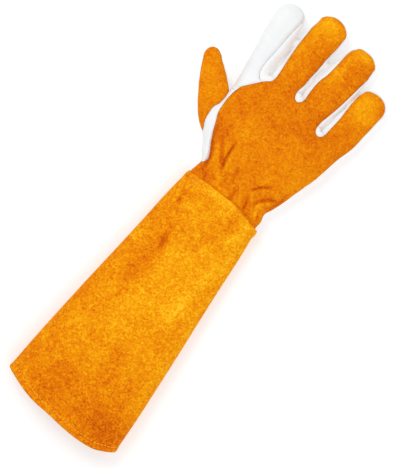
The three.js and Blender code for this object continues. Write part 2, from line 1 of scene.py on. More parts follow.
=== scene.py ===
"""Looks of a rose pruning gauntlet that lies palm down, with its long cuff open at the hem.

Lengths are millimetres in the glove's own frame until a mesh is placed. Its origin is the middle of the wrist
seam, +Y runs to the fingertips, +X to the little finger's side and +Z up from the surface under the glove.
"""

import logging
import math
from dataclasses import dataclass, field
from enum import Enum

import bpy
import numpy as np
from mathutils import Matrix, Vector, noise
from mathutils.bvhtree import BVHTree
from mathutils.kdtree import KDTree


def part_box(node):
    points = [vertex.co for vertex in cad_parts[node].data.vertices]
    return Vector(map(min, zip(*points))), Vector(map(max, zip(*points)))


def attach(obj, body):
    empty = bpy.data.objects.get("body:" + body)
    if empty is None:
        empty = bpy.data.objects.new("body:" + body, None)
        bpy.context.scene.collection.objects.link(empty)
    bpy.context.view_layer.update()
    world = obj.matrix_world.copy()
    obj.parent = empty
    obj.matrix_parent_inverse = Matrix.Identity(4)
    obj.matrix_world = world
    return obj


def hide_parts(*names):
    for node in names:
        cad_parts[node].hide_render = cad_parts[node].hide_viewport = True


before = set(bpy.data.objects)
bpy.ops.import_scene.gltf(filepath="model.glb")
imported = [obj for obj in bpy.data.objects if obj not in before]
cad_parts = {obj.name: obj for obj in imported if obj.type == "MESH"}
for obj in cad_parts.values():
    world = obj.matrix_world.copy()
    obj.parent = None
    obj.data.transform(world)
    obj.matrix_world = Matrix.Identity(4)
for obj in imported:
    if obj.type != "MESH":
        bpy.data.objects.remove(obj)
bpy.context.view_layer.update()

logging.basicConfig(level=logging.INFO, format="%(message)s")
log = logging.getLogger("gauntlet")

MM = 0.001
ROUNDNESS = 2.5
SECTION_CENTRE = 0.4
LEATHER = 1.8
PATCH_LIFT = 1.8
SIDE_SEAM_HEIGHT = 9.0
THUMB_SEAM_HEIGHT = 6.0
SEAM_GAP = 0.2
TIP_FULLNESS = 1.0
TIP_TURN = math.pi / 2 * 0.985
PATCH_ENDS = (136, 160)
BAND_WIDTH = 8.0
CUFF_START = BAND_WIDTH / 3
SHARP_ANGLE = math.radians(60)
FAR = 60.0

Array = np.ndarray
Mesh = bpy.types.Mesh
Material = bpy.types.Material
Socket = bpy.types.NodeSocket
Tree = bpy.types.NodeTree
Node = bpy.types.Node
Thing = bpy.types.Object
Colour = tuple[float, float, float]
Line = tuple[tuple[float, float], ...]
Table = tuple[tuple[float, ...], ...]
Body = tuple[Array, list]


# Numbers and curves


def smoothstep(value: Array, low: float, high: float) -> Array:
    """Returns 0 below low, 1 above high and a smooth ramp between."""
    share = np.clip((np.asarray(value, float) - low) / (high - low), 0, 1)
    return share * share * (3 - 2 * share)


def bell(away: Array, width: float) -> Array:
    """Returns 1 at a line and less on both sides of it, about a third at the given distance."""
    return np.exp(-((away / width) ** 2))


def signed_power(value: Array, exponent: float) -> Array:
    """Returns a power that keeps its sign."""
    return np.sign(value) * np.abs(value) ** exponent


def smooth_max(first: Array, second: Array, width: float) -> Array:
    """Returns the larger of two values, with a rounded change from one to the other."""
    return (first + second + np.sqrt((first - second) ** 2 + width * width)) / 2


def smooth_at(keys: Array, values: Array, at: Array) -> Array:
    """Reads a smooth curve through the rows of a table.

    Args:
        keys: rising positions of the rows.
        values: one value, or one row of values, for each key.
        at: positions to read.

    Returns:
        The values at those positions.
    """
    keys, values, at = np.asarray(keys, float), np.asarray(values, float), np.asarray(at, float)
    slopes = np.gradient(values, keys, axis=0)
    row = np.clip(np.searchsorted(keys, at) - 1, 0, len(keys) - 2)
    step = keys[row + 1] - keys[row]
    t = np.clip((at - keys[row]) / step, 0, 1)
    if values.ndim > 1:
        t, step = t[..., None], step[..., None]
    rise = t * t * (3 - 2 * t)
    return (
        values[row] * (1 - rise)
        + values[row + 1] * rise
        + step * t * (1 - t) * (slopes[row] * (1 - t) - slopes[row + 1] * t)
    )


def through(rows: Table, at: Array) -> Array:
    """Reads the columns of a table beside its first, rising one, at places in that one."""
    table = np.array(rows)
    return smooth_at(table[:, 0], table[:, 1:], at)


def dense(points: Array, spacing: float = 0.8) -> Array:
    """Returns evenly spaced points on a smooth line through the given ones.

    Args:
        points: the given points.
        spacing: from one new point to the next.

    Returns:
        The new points.
    """
    points = np.asarray(points, float)
    lengths = np.r_[0, np.cumsum(np.linalg.norm(np.diff(points, axis=0), axis=1))]
    count = max(2, int(lengths[-1] / spacing) + 1)
    return smooth_at(lengths, points, np.linspace(0, lengths[-1], count))


def bow(start: Array, end: Array, reach: float, steps: int = 16) -> Array:
    """Returns a half ellipse from start to end that bulges by reach along +Y, without its ends.

    Args:
        start: where it starts.
        end: where it ends.
        reach: how far it bulges.
        steps: how many stretches it has.

    Returns:
        The points between its ends.
    """
    angle = np.linspace(0, math.pi, steps + 1)[1:-1]
    share = ((1 - np.cos(angle)) / 2)[:, None]
    line = np.asarray(start) * (1 - share) + np.asarray(end) * share
    line[:, 1] += reach * np.sin(angle)
    return line


def closed(outline: Array, spacing: float) -> Array:
    """Returns evenly spaced points on a smooth line round an outline and back to its first point."""
    return dense(np.vstack([outline, outline[:1]]), spacing)


def leftward(run: Array) -> Array:
    """Returns steps of length 1 to the left of a line's run in plan."""
    run = run / (np.linalg.norm(run, axis=1)[:, None] + 1e-12)
    return np.c_[-run[:, 1], run[:, 0]]


def beside(line: Array, away: float) -> Array:
    """Returns a line moved sideways in plan, to the left of the way it runs."""
    return line + away * leftward(np.gradient(line, axis=0))


def winding(outline: Array) -> float:
    """Returns 1 for an outline that runs anticlockwise in plan and -1 for the other way round."""
    after = np.roll(outline, -1, axis=0)
    return np.sign(np.sum(outline[:, 0] * after[:, 1] - after[:, 0] * outline[:, 1]))


def ripple(points: Array, size: float, seed: float = 0.0) -> Array:
    """Returns soft noise from -1 to 1 with lumps of about the given size."""
    shifted = points / size + seed
    return np.array([noise.noise(Vector(p)) for p in shifted])


def rippled(points: Array, rows: Table) -> Array:
    """Returns the sum of several ripples, each a row of height, size and seed."""
    return sum(height * ripple(points, size, seed) for height, size, seed in rows)


# Meshes


def faces_of_grid(rows: int, columns: int, close_rows: bool = False) -> list[tuple[int, ...]]:
    """Returns the quads of a grid whose columns run round a tube.

    Args:
        rows: how many rings there are.
        columns: how many points each ring has.
        close_rows: joins the last ring to the first.

    Returns:
        The corners of each quad.
    """
    here = np.arange(rows * columns).reshape(rows, columns)
    below = here if close_rows else here[:-1]
    above = np.roll(here, -1, axis=0) if close_rows else here[1:]
    quads = np.stack([below, np.roll(below, -1, axis=1), np.roll(above, -1, axis=1), above], axis=-1)
    return [tuple(quad) for quad in quads.reshape(-1, 4).tolist()]


def new_mesh(name: str, points: Array, faces: list[tuple[int, ...]]) -> Mesh:
    """Returns a mesh of the given points and faces.

    Args:
        name: the mesh's name.
        points: its points.
        faces: the corners of each face.

    Returns:
        The mesh.
    """
    mesh = bpy.data.meshes.new(name)
    mesh.from_pydata(np.asarray(points, float).tolist(), [], faces)
    mesh.validate()
    mesh.update()
    return mesh


def read(parts: object, label: str, width: int = 1, kind: type = np.float32) -> Array:
    """Reads a property of all points, edges, corners or faces of a mesh.

    Args:
        parts: the points, edges, corners or faces.
        label: the property.
        width: how many numbers it has.
        kind: the type of its numbers.

    Returns:
        One row for each of them, or one number where the width is 1.
    """
    found = np.empty(len(parts) * width, kind)
    parts.foreach_get(label, found)
    return found.reshape(-1, width) if width > 1 else found


def points_of(mesh: Mesh) -> Array:
    """Returns a mesh's points."""
    return read(mesh.vertices, "co", 3).astype(float)


def normals_of(mesh: Mesh) -> Array:
    """Returns the normal at each point of a mesh."""
    return read(mesh.vertex_normals, "vector", 3).astype(float)


def move_to(mesh: Mesh, points: Array) -> None:
    """Gives a mesh's points new places."""
    mesh.vertices.foreach_set("co", points.astype(np.float32).ravel())
    mesh.update()


def sunk(mesh: Mesh, points: Array, depth: Array, along: Array) -> Mesh:
    """Moves a mesh's points against a direction, and none of them below the ground.

    Args:
        mesh: the mesh, changed in place.
        points: where its points are.
        depth: how far each one moves.
        along: the direction of each one.

    Returns:
        The same mesh.
    """
    points = points - along * depth[:, None]
    points[:, 2] = np.maximum(points[:, 2], 0.0)
    move_to(mesh, points)
    return mesh


def linked(name: str, data: bpy.types.ID) -> Thing:
    """Returns a new object in the scene.

    Args:
        name: the object's name.
        data: its mesh, light or camera.

    Returns:
        The object.
    """
    made = bpy.data.objects.new(name, data)
    bpy.context.scene.collection.objects.link(made)
    return made


def evaluated(worked: Thing) -> Mesh:
    """Returns the mesh that an object's modifiers make, and removes the object.

    Args:
        worked: the object.

    Returns:
        The mesh.
    """
    graph = bpy.context.evaluated_depsgraph_get()
    made = bpy.data.meshes.new_from_object(worked.evaluated_get(graph))
    bpy.data.objects.remove(worked)
    return made


def after_modifier(mesh: Mesh, kind: str, **settings: object) -> Mesh:
    """Runs one modifier on a mesh.

    Args:
        mesh: the mesh, which is used up.
        kind: the modifier's type.
        **settings: values of the modifier's own properties.

    Returns:
        The new mesh.
    """
    worked = linked("worked", mesh)
    modifier = worked.modifiers.new("step", kind)
    for name, value in settings.items():
        setattr(modifier, name, value)
    return evaluated(worked)


class Cut(Enum):
    """What a cutting block leaves of a mesh."""

    KEEP = "INTERSECT"
    REMOVE = "DIFFERENCE"


def cut(mesh: Mesh, tool: Mesh, what: Cut) -> Mesh:
    """Returns what a cutting block leaves of a mesh, which stays as it is.

    Args:
        mesh: the mesh.
        tool: the cutting block, or another closed mesh.
        what: which part is kept.

    Returns:
        The new mesh.
    """
    cutter = linked("cutter", tool)
    made = after_modifier(mesh.copy(), "BOOLEAN", object=cutter, operation=what.value, solver="MANIFOLD")
    bpy.data.objects.remove(cutter)
    return made


def block(outline: Array, low: float, high: float, grow: float = 0.0) -> Mesh:
    """Makes an upright cutting block.

    Args:
        outline: its plan, in either direction.
        low: height of its underside.
        high: height of its top.
        grow: how far every side is moved outwards.

    Returns:
        The block.
    """
    plan = np.asarray(outline, float)
    if winding(plan) < 0:
        return block(plan[::-1], low, high, grow)
    plan = plan - grow * leftward(np.roll(plan, -1, axis=0) - np.roll(plan, 1, axis=0))
    count = len(plan)
    points = np.vstack([np.c_[plan, np.full(count, low - grow)], np.c_[plan, np.full(count, high + grow)]])
    ring = list(range(count))
    sides = [(i, (i + 1) % count, count + (i + 1) % count, count + i) for i in ring]
    return new_mesh("block", points, [tuple(ring[::-1]), tuple(count + i for i in ring), *sides])


def faired(mesh: Mesh, rounds: int, share: Array | float = 1.0, keep_size: bool = True) -> Mesh:
    """Smooths a mesh.

    Args:
        mesh: the mesh, changed in place.
        rounds: how many times each point moves towards its neighbours.
        share: how much of the move each point takes.
        keep_size: pushes back every second time, so that the form doesn't shrink.

    Returns:
        The same mesh.
    """
    first, second = read(mesh.edges, "vertices", 2, np.int32).T
    points = points_of(mesh)
    count = np.bincount(np.r_[first, second], minlength=len(points))[:, None]
    share = np.broadcast_to(np.asarray(share, float), len(points))[:, None]
    for i in range(rounds):
        total = np.empty_like(points)
        for axis in range(3):
            total[:, axis] = np.bincount(first, points[second, axis], len(points))
            total[:, axis] += np.bincount(second, points[first, axis], len(points))
        pull = -0.53 if keep_size and i % 2 else 0.5
        points += pull * share * (total / count - points)
    move_to(mesh, points)
    return mesh


def tube(sections: Array, sides: int = 72, tip: float = 0.0, bend: Array | None = None) -> Body:
    """Makes a closed body through sections that are rounded oblongs with a flat underside.

    Args:
        sections: rows of y, left, right, base, top and how far the outline is moved outwards.
        sides: points round each section.
        tip: length of the rounded tip beyond the last section, or 0 for a plain end.
        bend: for each row, how much of the web line's shape it takes.

    Returns:
        Points and faces.
    """
    rows = np.asarray(sections, float)
    if tip:
        y, left, right, base, top, grow = rows[-1]
        middle, centre = (left + right) / 2, base + SECTION_CENTRE * (top - base)
        turn = np.linspace(0, TIP_TURN, 12)[1:]
        shrink, reach = np.cos(turn) ** TIP_FULLNESS, np.sin(turn)
        ends = [y + reach * (tip + grow)]
        ends += [middle + (edge - middle) * shrink for edge in (left, right)]
        ends += [centre + (edge - centre) * shrink for edge in (base, top)]
        rows = np.vstack([rows, np.stack([*ends, grow * shrink], axis=1)])
    y, left, right, base, top, grow = rows.T[:, :, None]
    angle = np.linspace(0, 2 * math.pi, sides, endpoint=False)[None, :]
    centre = base + SECTION_CENTRE * (top - base)
    x = (left + right) / 2 + ((right - left) / 2 + grow) * signed_power(np.cos(angle), 2 / ROUNDNESS)
    z = centre + (top - centre + grow) * signed_power(np.sin(angle), 2 / ROUNDNESS)
    z = np.maximum(z, base - grow)
    y = np.broadcast_to(y, x.shape)
    if bend is not None:
        y = y + bend[:, None] * (WEB.at(x) + np.minimum(grow, 0) - y)
    points = np.stack([x, y, z], axis=-1).reshape(-1, 3)
    count = len(rows)
    faces = faces_of_grid(count, sides)
    caps = [tuple(range(sides))[::-1], tuple(range((count - 1) * sides, count * sides))]
    return points, faces + caps


def joined(bodies: list[Body]) -> Mesh:
    """Returns several closed bodies as one mesh.

    Args:
        bodies: points and faces of each body.

    Returns:
        The mesh.
    """
    points, faces, start = [], [], 0
    for body_points, body_faces in bodies:
        points.append(body_points)
        faces += [tuple(i + start for i in face) for face in body_faces]
        start += len(body_points)
    return new_mesh("joined", np.vstack(points), faces)


def triangle_count(mesh: Mesh) -> int:
    """Returns how many triangles a mesh has."""
    return sum(len(polygon.vertices) - 2 for polygon in mesh.polygons)


# The shape of the hand


@dataclass(frozen=True)
class WebLine:
    """The line across the hand where the fingers part."""

    across: tuple[float, ...] = (-62, -34, -1, 33.5, 64)
    along: tuple[float, ...] = (110, 119, 123, 105, 98)

    def at(self, x: Array) -> Array:
        """Returns how far along the hand the line lies at a place across it."""
        return np.interp(x, self.across, self.along)


WEB = WebLine()


@dataclass(frozen=True)
class Finger:
    """A finger's edges from its root to its round tip, as rows of x and y.

    tops are its heights at the root, the middle and the tip. The seams are where its side strips meet its
    back, from the crotch up to the place where each seam runs out over the edge.
    """

    name: str
    tip: float
    tops: tuple[float, float, float]
    left: Line
    right: Line
    left_seam: Line = ()
    right_seam: Line = ()

    @property
    def tip_start(self) -> float:
        """How far along the hand the round tip starts."""
        return self.left[-1][1]

    def edge(self, side: str, y: Array) -> Array:
        """Returns the finger's edge on one side, at places along the hand."""
        rows = np.array(self.left if side == "left" else self.right)
        return smooth_at(rows[:, 1], rows[:, 0], y)

    def body(self, grow: float) -> Body:
        """Returns the finger as a closed body, moved outwards by grow.

        Args:
            grow: how far the body is moved outwards.

        Returns:
            Its points and faces.
        """
        y = np.linspace(self.left[0][1], self.tip_start, 60)
        base = PATCH_LIFT * (1 - smoothstep(y, *PATCH_ENDS))
        share = (y - y[0]) / (y[-1] - y[0])
        top = smooth_at([0, 0.5, 1], self.tops, share)
        sides = self.edge("left", y), self.edge("right", y)
        rows = np.stack([y, *sides, base, top, np.full_like(y, grow)], axis=1)
        return tube(rows, 64, tip=self.tip - self.tip_start)

    def seam(self, side: str) -> Array:
        """Returns the seam of the side strip along one edge, from the crotch upwards."""
        return dense(self.left_seam if side == "left" else self.right_seam)

    def round_tip(self, gap: float = 0.8) -> Array:
        """Returns a line round the outside of the tip, from the left seam's end to the right one's.

        Args:
            gap: how far outside the finger the line runs.

        Returns:
            Its points in plan.
        """
        turn = np.linspace(0, math.pi / 2, 14)
        rise = self.tip_start + (self.tip - self.tip_start + gap) * np.sin(turn)
        left, right = float(self.edge("left", self.tip_start)), float(self.edge("right", self.tip_start))
        middle, half = (left + right) / 2, (right - left) / 2 + gap
        sides = []
        for sign, seam in ((-1, self.left_seam), (1, self.right_seam)):
            line = np.c_[middle + sign * half * np.cos(turn), rise]
            low = seam[-1][1] if seam else self.tip_start
            if low < self.tip_start:
                line = np.vstack([(middle + sign * half, low), line])
            sides.append(line[line[:, 1] >= low])
        return np.vstack([sides[0], sides[1][::-1][1:]])


@dataclass(frozen=True)
class Crotch:
    """The place where two neighbouring fingers part, and how deep the side strip dips below it."""

    name: str
    first: str
    second: str
    along: float
    dip: float


@dataclass(frozen=True)
class Fold:
    """A gather or crease on the upper side: the line it follows, its depth and its half width.

    A negative depth is a ridge.
    """

    line: Line
    depth: float
    width: float

    def press(self, x: Array, y: Array) -> Array:
        """Returns how far the fold presses the leather in at places of the plan.

        Args:
            x: places across the hand.
            y: places along it.

        Returns:
            A depth for each place.
        """
        line = dense(self.line, 1.0)
        total = np.zeros_like(x)
        reach = 3 * self.width
        near = (x > line[:, 0].min() - reach) & (x < line[:, 0].max() + reach)
        near &= (y > line[:, 1].min() - reach) & (y < line[:, 1].max() + reach)
        if not near.any():
            return total
        away = np.hypot(x[near][:, None] - line[None, :, 0], y[near][:, None] - line[None, :, 1])
        nearest = away.argmin(axis=1)
        share = nearest / (len(line) - 1)
        fade = smoothstep(share, -0.15, 0.3) * (1 - smoothstep(share, 0.7, 1.15))
        total[near] = self.depth * fade * bell(away.min(axis=1), self.width)
        return total


def pressed(points: Array, up: Array, folds: tuple[Fold, ...]) -> Array:
    """Returns points with their upper side pressed in along folds.

    Args:
        points: the points.
        up: how much each one faces up.
        folds: the folds.

    Returns:
        The moved points.
    """
    total = sum(fold.press(points[:, 0], points[:, 1]) for fold in folds)
    moved = points.copy()
    moved[:, 2] -= total * smoothstep(up, 0.05, 0.6)
    return moved


@dataclass(frozen=True)
class HandShape:
    """The form of the hand: palm, fingers and thumb in one skin."""

    # y, left, right and top of each section of the palm
    palm_rows: Table = (
        (-9, -40.4, 40.4, 21.9),
        (0, -40.4, 40.6, 21.9),
        (4.5, -40.2, 40.9, 21.9),
        (12, -38.6, 39.2, 21.6),
        (20, -40, 42.5, 21.8),
        (25, -43.9, 44.5, 22.6),
        (30, -47, 46.2, 23.4),
        (35, -50, 47.8, 23.9),
        (45, -56, 50.5, 25),
        (55, -59.6, 53.4, 25.5),
        (65, -60.3, 56.6, 26),
        (75, -58, 58.7, 26),
        (93, -57, 62.6, 24.6),
        (110, -59.2, 66.8, 22.6),
        (128, -62, 68.6, 20.3),
    )
    # share of its length, outer and inner shares of its width, top of each section of the thumb
    thumb_rows: Table = (
        (0, -0.05, 0.43, 16.2),
        (0.18, 0.23, 0.54, 17.6),
        (0.3, 0.36, 0.61, 18),
        (0.42, 0.405, 0.62, 18),
        (0.55, 0.41, 0.62, 17.5),
        (0.66, 0.407, 0.54, 16.6),
        (0.8, 0.385, 0.40, 15.3),
        (0.88, 0.345, 0.30, 14.4),
    )
    thumb_length: float = 95
    thumb_width: float = 28
    thumb_lean: float = 33.5
    thumb_root: tuple[float, float] = (-42, 30)
    thumb_crotch: tuple[float, float] = (-52, 55)
    # lifts of the palm's underside: all over, in the cuff, beyond the cuff and at the gathers
    palm_lifts: tuple[float, float, float, float] = (1.5, 2.1, 0.3, 0.9)
    # the leather between two fingers: length, underside and top, and how much its ends close in
    web_length: float = 43
    web_heights: tuple[float, float] = (2.5, 14.5)
    web_falls: tuple[float, float, float] = (4, 3.5, 6)
    fingers: tuple[Finger, ...] = (
        Finger(
            "index", 187.0, (22.4, 19, 16.4),
            ((-57, 92), (-59.6, 110), (-62.7, 130), (-65.8, 150), (-67.9, 171.6)),
            ((-33.6, 92), (-33.8, 117), (-34.9, 121), (-35.2, 150), (-39.1, 171.6)),
            right_seam=((-46, 121), (-46, 125), (-45, 140), (-43.8, 160), (-42.7, 170), (-42.1, 177),
                        (-42.6, 181.5)),
        ),
        Finger(
            "middle", 200.5, (23.6, 19.4, 16.7),
            ((-35, 92), (-34.8, 117), (-34, 121), (-34, 168), (-33.4, 176), (-31.6, 186)),
            ((0, 92), (0, 121), (-0.8, 125), (-0.4, 168), (0.1, 186)),
            left_seam=((-29.6, 121), (-29.8, 125), (-31.2, 140), (-31.8, 150), (-32.1, 160), (-31.8, 170),
                       (-31.8, 180), (-31.6, 190)),
            right_seam=((-6.1, 121), (-5.8, 125), (-4.7, 130), (-4.2, 140), (-3.3, 150), (-2.9, 160),
                        (-2, 170), (-0.9, 180), (-0.3, 187)),
        ),
        Finger(
            "ring", 192.3, (22.8, 19, 16.4),
            ((-1, 92), (-1, 121), (0.2, 125), (1.1, 150), (3.4, 163), (6.5, 171.5), (8.3, 178)),
            ((34.5, 90), (34.5, 103), (33.8, 107), (36.5, 130), (40.2, 160), (40.3, 170), (40.1, 178)),
            left_seam=((4.1, 121), (3.8, 125), (3.9, 138), (5, 145), (6.6, 150), (7.5, 155), (8.1, 160),
                       (9, 170), (9.6, 178), (11.2, 184), (12.8, 188)),
            right_seam=((28.4, 107), (28.8, 112), (30.6, 120), (32.8, 130), (34.6, 140), (36.1, 150),
                        (37.5, 160), (38.8, 168), (39.7, 175), (39.7, 180)),
        ),
        Finger(
            "little", 167.0, (20.2, 17.5, 15.2),
            ((33, 90), (33, 103), (34.8, 107), (37.3, 130), (39.3, 144), (40.7, 152)),
            ((61.3, 90), (67.4, 110), (69.8, 130), (70.9, 141), (72.4, 152)),
            left_seam=((39.2, 107), (39.9, 115), (40.8, 125), (40.9, 135), (41.2, 145), (41.8, 152),
                       (42.7, 160)),
        ),
    )
    crotches: tuple[Crotch, ...] = (
        Crotch("index_middle", "index", "middle", 121, 12),
        Crotch("middle_ring", "middle", "ring", 121, 7.5),
        Crotch("ring_little", "ring", "little", 107, 7),
    )
    gathers: tuple[Fold, ...] = (
        Fold(((-39, 50), (-30, 37), (-22, 26.5), (-17, 19)), 1.7, 2.3),
        Fold(((-22.5, 50), (-22, 40), (-20.6, 29.5), (-17, 20)), 2.1, 1.3),
        Fold(((-19.6, 46), (-18, 36), (-15.5, 26)), -1.2, 1.8),
        Fold(((-30.5, 47), (-26.5, 40), (-24, 34)), -0.7, 1.7),
        Fold(((-40, 74), (-33, 64), (-26, 56)), -0.5, 3.2),
        Fold(((-46, 49), (-41, 38), (-36, 29), (-33, 18), (-33, 6)), 2.4, 2.2),
        Fold(((-36, 41), (-31, 32), (-27.5, 20)), -0.9, 2.8),
        Fold(((31, 37.5), (25.5, 33.5), (21.5, 30), (18, 26), (15, 21)), 2.2, 1.4),
        Fold(((29, 31), (24, 28), (20, 23.5)), -0.9, 1.8),
        Fold(((14.5, 22.5), (20, 17.5), (24.5, 12), (27, 6)), -1.4, 1.6),
        Fold(((42, 28.5), (35, 26), (28.5, 19), (25, 13)), 2.0, 1.7),
        Fold(((40, 24), (34, 21), (30, 15)), -0.9, 1.8),
        Fold(((27, 20), (31, 13), (35, 5)), -1.1, 1.7),
        Fold(((30, 15), (34, 9), (38, 2)), 1.6, 1.3),
        Fold(((16, 17), (19, 11), (21, 3)), 1.7, 1.4),
        Fold(((3.5, 17), (4.5, 9), (5, 2)), 2.0, 1.7),
        Fold(((10, 14), (11.5, 8), (12, 3)), -0.9, 1.8),
        Fold(((-12, 21), (-9.5, 15), (-10.5, 8)), 1.3, 1.4),
        Fold(((-15, 14), (-14, 9), (-15, 3)), -0.7, 1.6),
        Fold(((-4, 22), (-2.8, 17), (-3.5, 11)), 1.1, 1.3),
        Fold(((-7, 33), (-5, 27), (-5, 21)), 1.0, 1.6),
        Fold(((-22, 16), (-20, 10), (-20, 3)), 1.4, 1.7),
        Fold(((-29, 13), (-27, 8), (-26, 2)), 1.1, 1.5),
        Fold(((46, 43), (43, 27), (38.5, 14)), 1.3, 1.8),
        Fold(((8, 36), (12, 30), (17, 27)), 0.7, 1.8),
        Fold(((-52, 62), (-46, 52), (-41, 44)), 0.8, 2.4),
        Fold(((10, 3.8), (20, 2.6), (30, 0.6), (40, -2), (48, -4)), 0.9, 0.8),
        Fold(((-8, 13), (-3, 10), (3, 11)), 0.8, 1.2),
        Fold(((-17, 30), (-11, 25), (-6, 24)), -0.6, 1.6),
        Fold(((36, 12), (33, 7), (33, 2)), -0.8, 1.3),
        Fold(((34, 97), (40, 92), (47, 88)), 0.6, 2.6),
    )

    def finger(self, name: str) -> Finger:
        """Returns the finger of that name."""
        return next(finger for finger in self.fingers if finger.name == name)

    def palm(self, grow: float) -> Body:
        """Returns the palm as a closed body, moved outwards by grow.

        Args:
            grow: how far the body is moved outwards.

        Returns:
            Its points and faces.
        """
        y = np.r_[-18 if grow < 0 else -9, np.linspace(-8.9, 128, 130)]
        bend = smoothstep(y, 80, 128)
        left = through(self.palm_rows, y + bend * (WEB.along[0] - y))[:, 0]
        right = through(self.palm_rows, y + bend * (WEB.along[-1] - y))[:, 1]
        top = through(self.palm_rows, y)[:, 2]
        cuffed = 1 - smoothstep(y, 2, 14)
        flat_lift, cuff_lift, hand_lift, gather_lift = self.palm_lifts
        base = flat_lift + cuff_lift * cuffed + hand_lift * (1 - cuffed) + gather_lift * bell(y - 12, 6)
        rows = np.stack([y, left, right, base, top, np.full_like(y, grow)], axis=1)
        return tube(rows, 110, bend=bend)

    def thumb(self, grow: float) -> Body:
        """Returns the thumb as a closed body, moved outwards by grow.

        Args:
            grow: how far the body is moved outwards.

        Returns:
            Its points and faces.
        """
        end = self.thumb_rows[-1][0]
        share = np.linspace(0, end, 60)
        outer, inner, top = through(self.thumb_rows, share).T
        sides = -outer * self.thumb_width, inner * self.thumb_width
        base = PATCH_LIFT * (1 - smoothstep(share, 0.58, 0.88))
        rows = np.stack([share * self.thumb_length, *sides, base, top, np.full_like(share, grow)], axis=1)
        points, faces = tube(rows, 64, tip=self.thumb_length * (1 - end))
        lean = math.radians(self.thumb_lean)
        x = points[:, 0] * math.cos(lean) - points[:, 1] * math.sin(lean) + self.thumb_root[0]
        y = points[:, 0] * math.sin(lean) + points[:, 1] * math.cos(lean) + self.thumb_root[1]
        return np.stack([x, y, points[:, 2]], axis=1), faces

    def between(self, crotch: Crotch, y: Array) -> Array:
        """Returns the middle between a crotch's two fingers, at places along the hand."""
        return (self.finger(crotch.first).edge("right", y) + self.finger(crotch.second).edge("left", y)) / 2

    def web(self, crotch: Crotch) -> Body:
        """Returns the leather between two fingers where they press together above their crotch.

        Args:
            crotch: where the two fingers part.

        Returns:
            Its points and faces.
        """
        y = np.linspace(crotch.along - 6, crotch.along + self.web_length, 40)
        (low, high), (rise, slope, drop) = self.web_heights, self.web_falls
        top = high - slope * smoothstep(y, crotch.along, crotch.along + 30)
        top -= drop * smoothstep(y, y[-1] - 5, y[-1])
        base = low + rise * smoothstep(y, y[-1] - 9, y[-1])
        middle = self.between(crotch, y)
        rows = np.stack([y, middle - 1, middle + 1, base, top, np.zeros_like(y)], axis=1)
        return tube(rows, 24)

    def pinch(self, crotch: Crotch) -> Array:
        """Returns the line where the leather between two fingers is pinched together."""
        y = np.linspace(crotch.along - 1, crotch.along + 33, 40)
        return np.c_[self.between(crotch, y) + 0.4 * np.sin(y / 3), y]

    def near_roots(self, points: Array) -> Array:
        """Returns how close points are to the places where fingers and thumb grow out of the palm.

        Args:
            points: the points.

        Returns:
            0 far from the roots to 1 at them, for each point.
        """
        web = np.abs(points[:, 1] - WEB.at(points[:, 0]))
        across, along = np.abs(points[:, :2] - self.thumb_crotch).T
        thumb = across + 0.3 * along
        return np.maximum(1 - smoothstep(web, 4, 16), 1 - smoothstep(thumb, 8, 22))

    def skin(self, grow: float, voxel: float, with_thumb: bool = True) -> Mesh:
        """Makes one fair skin over palm, fingers and thumb.

        Args:
            grow: how far it is moved outwards.
            voxel: size of its faces.
            with_thumb: whether the thumb is part of it.

        Returns:
            A closed mesh.
        """
        bodies = [self.palm(grow), *(finger.body(grow) for finger in self.fingers)]
        if grow >= 0:
            bodies += [self.web(crotch) for crotch in self.crotches]
        if with_thumb:
            bodies.append(self.thumb(grow))
        made = after_modifier(joined(bodies), "REMESH", mode="VOXEL", voxel_size=voxel, adaptivity=0)
        faired(made, round(6 / voxel))
        faired(made, round(30 / voxel), 0.9 * self.near_roots(points_of(made)), keep_size=False)
        move_to(made, pressed(points_of(made), normals_of(made)[:, 2], self.gathers))
        return made


# The pattern of the hand: seams seen from above


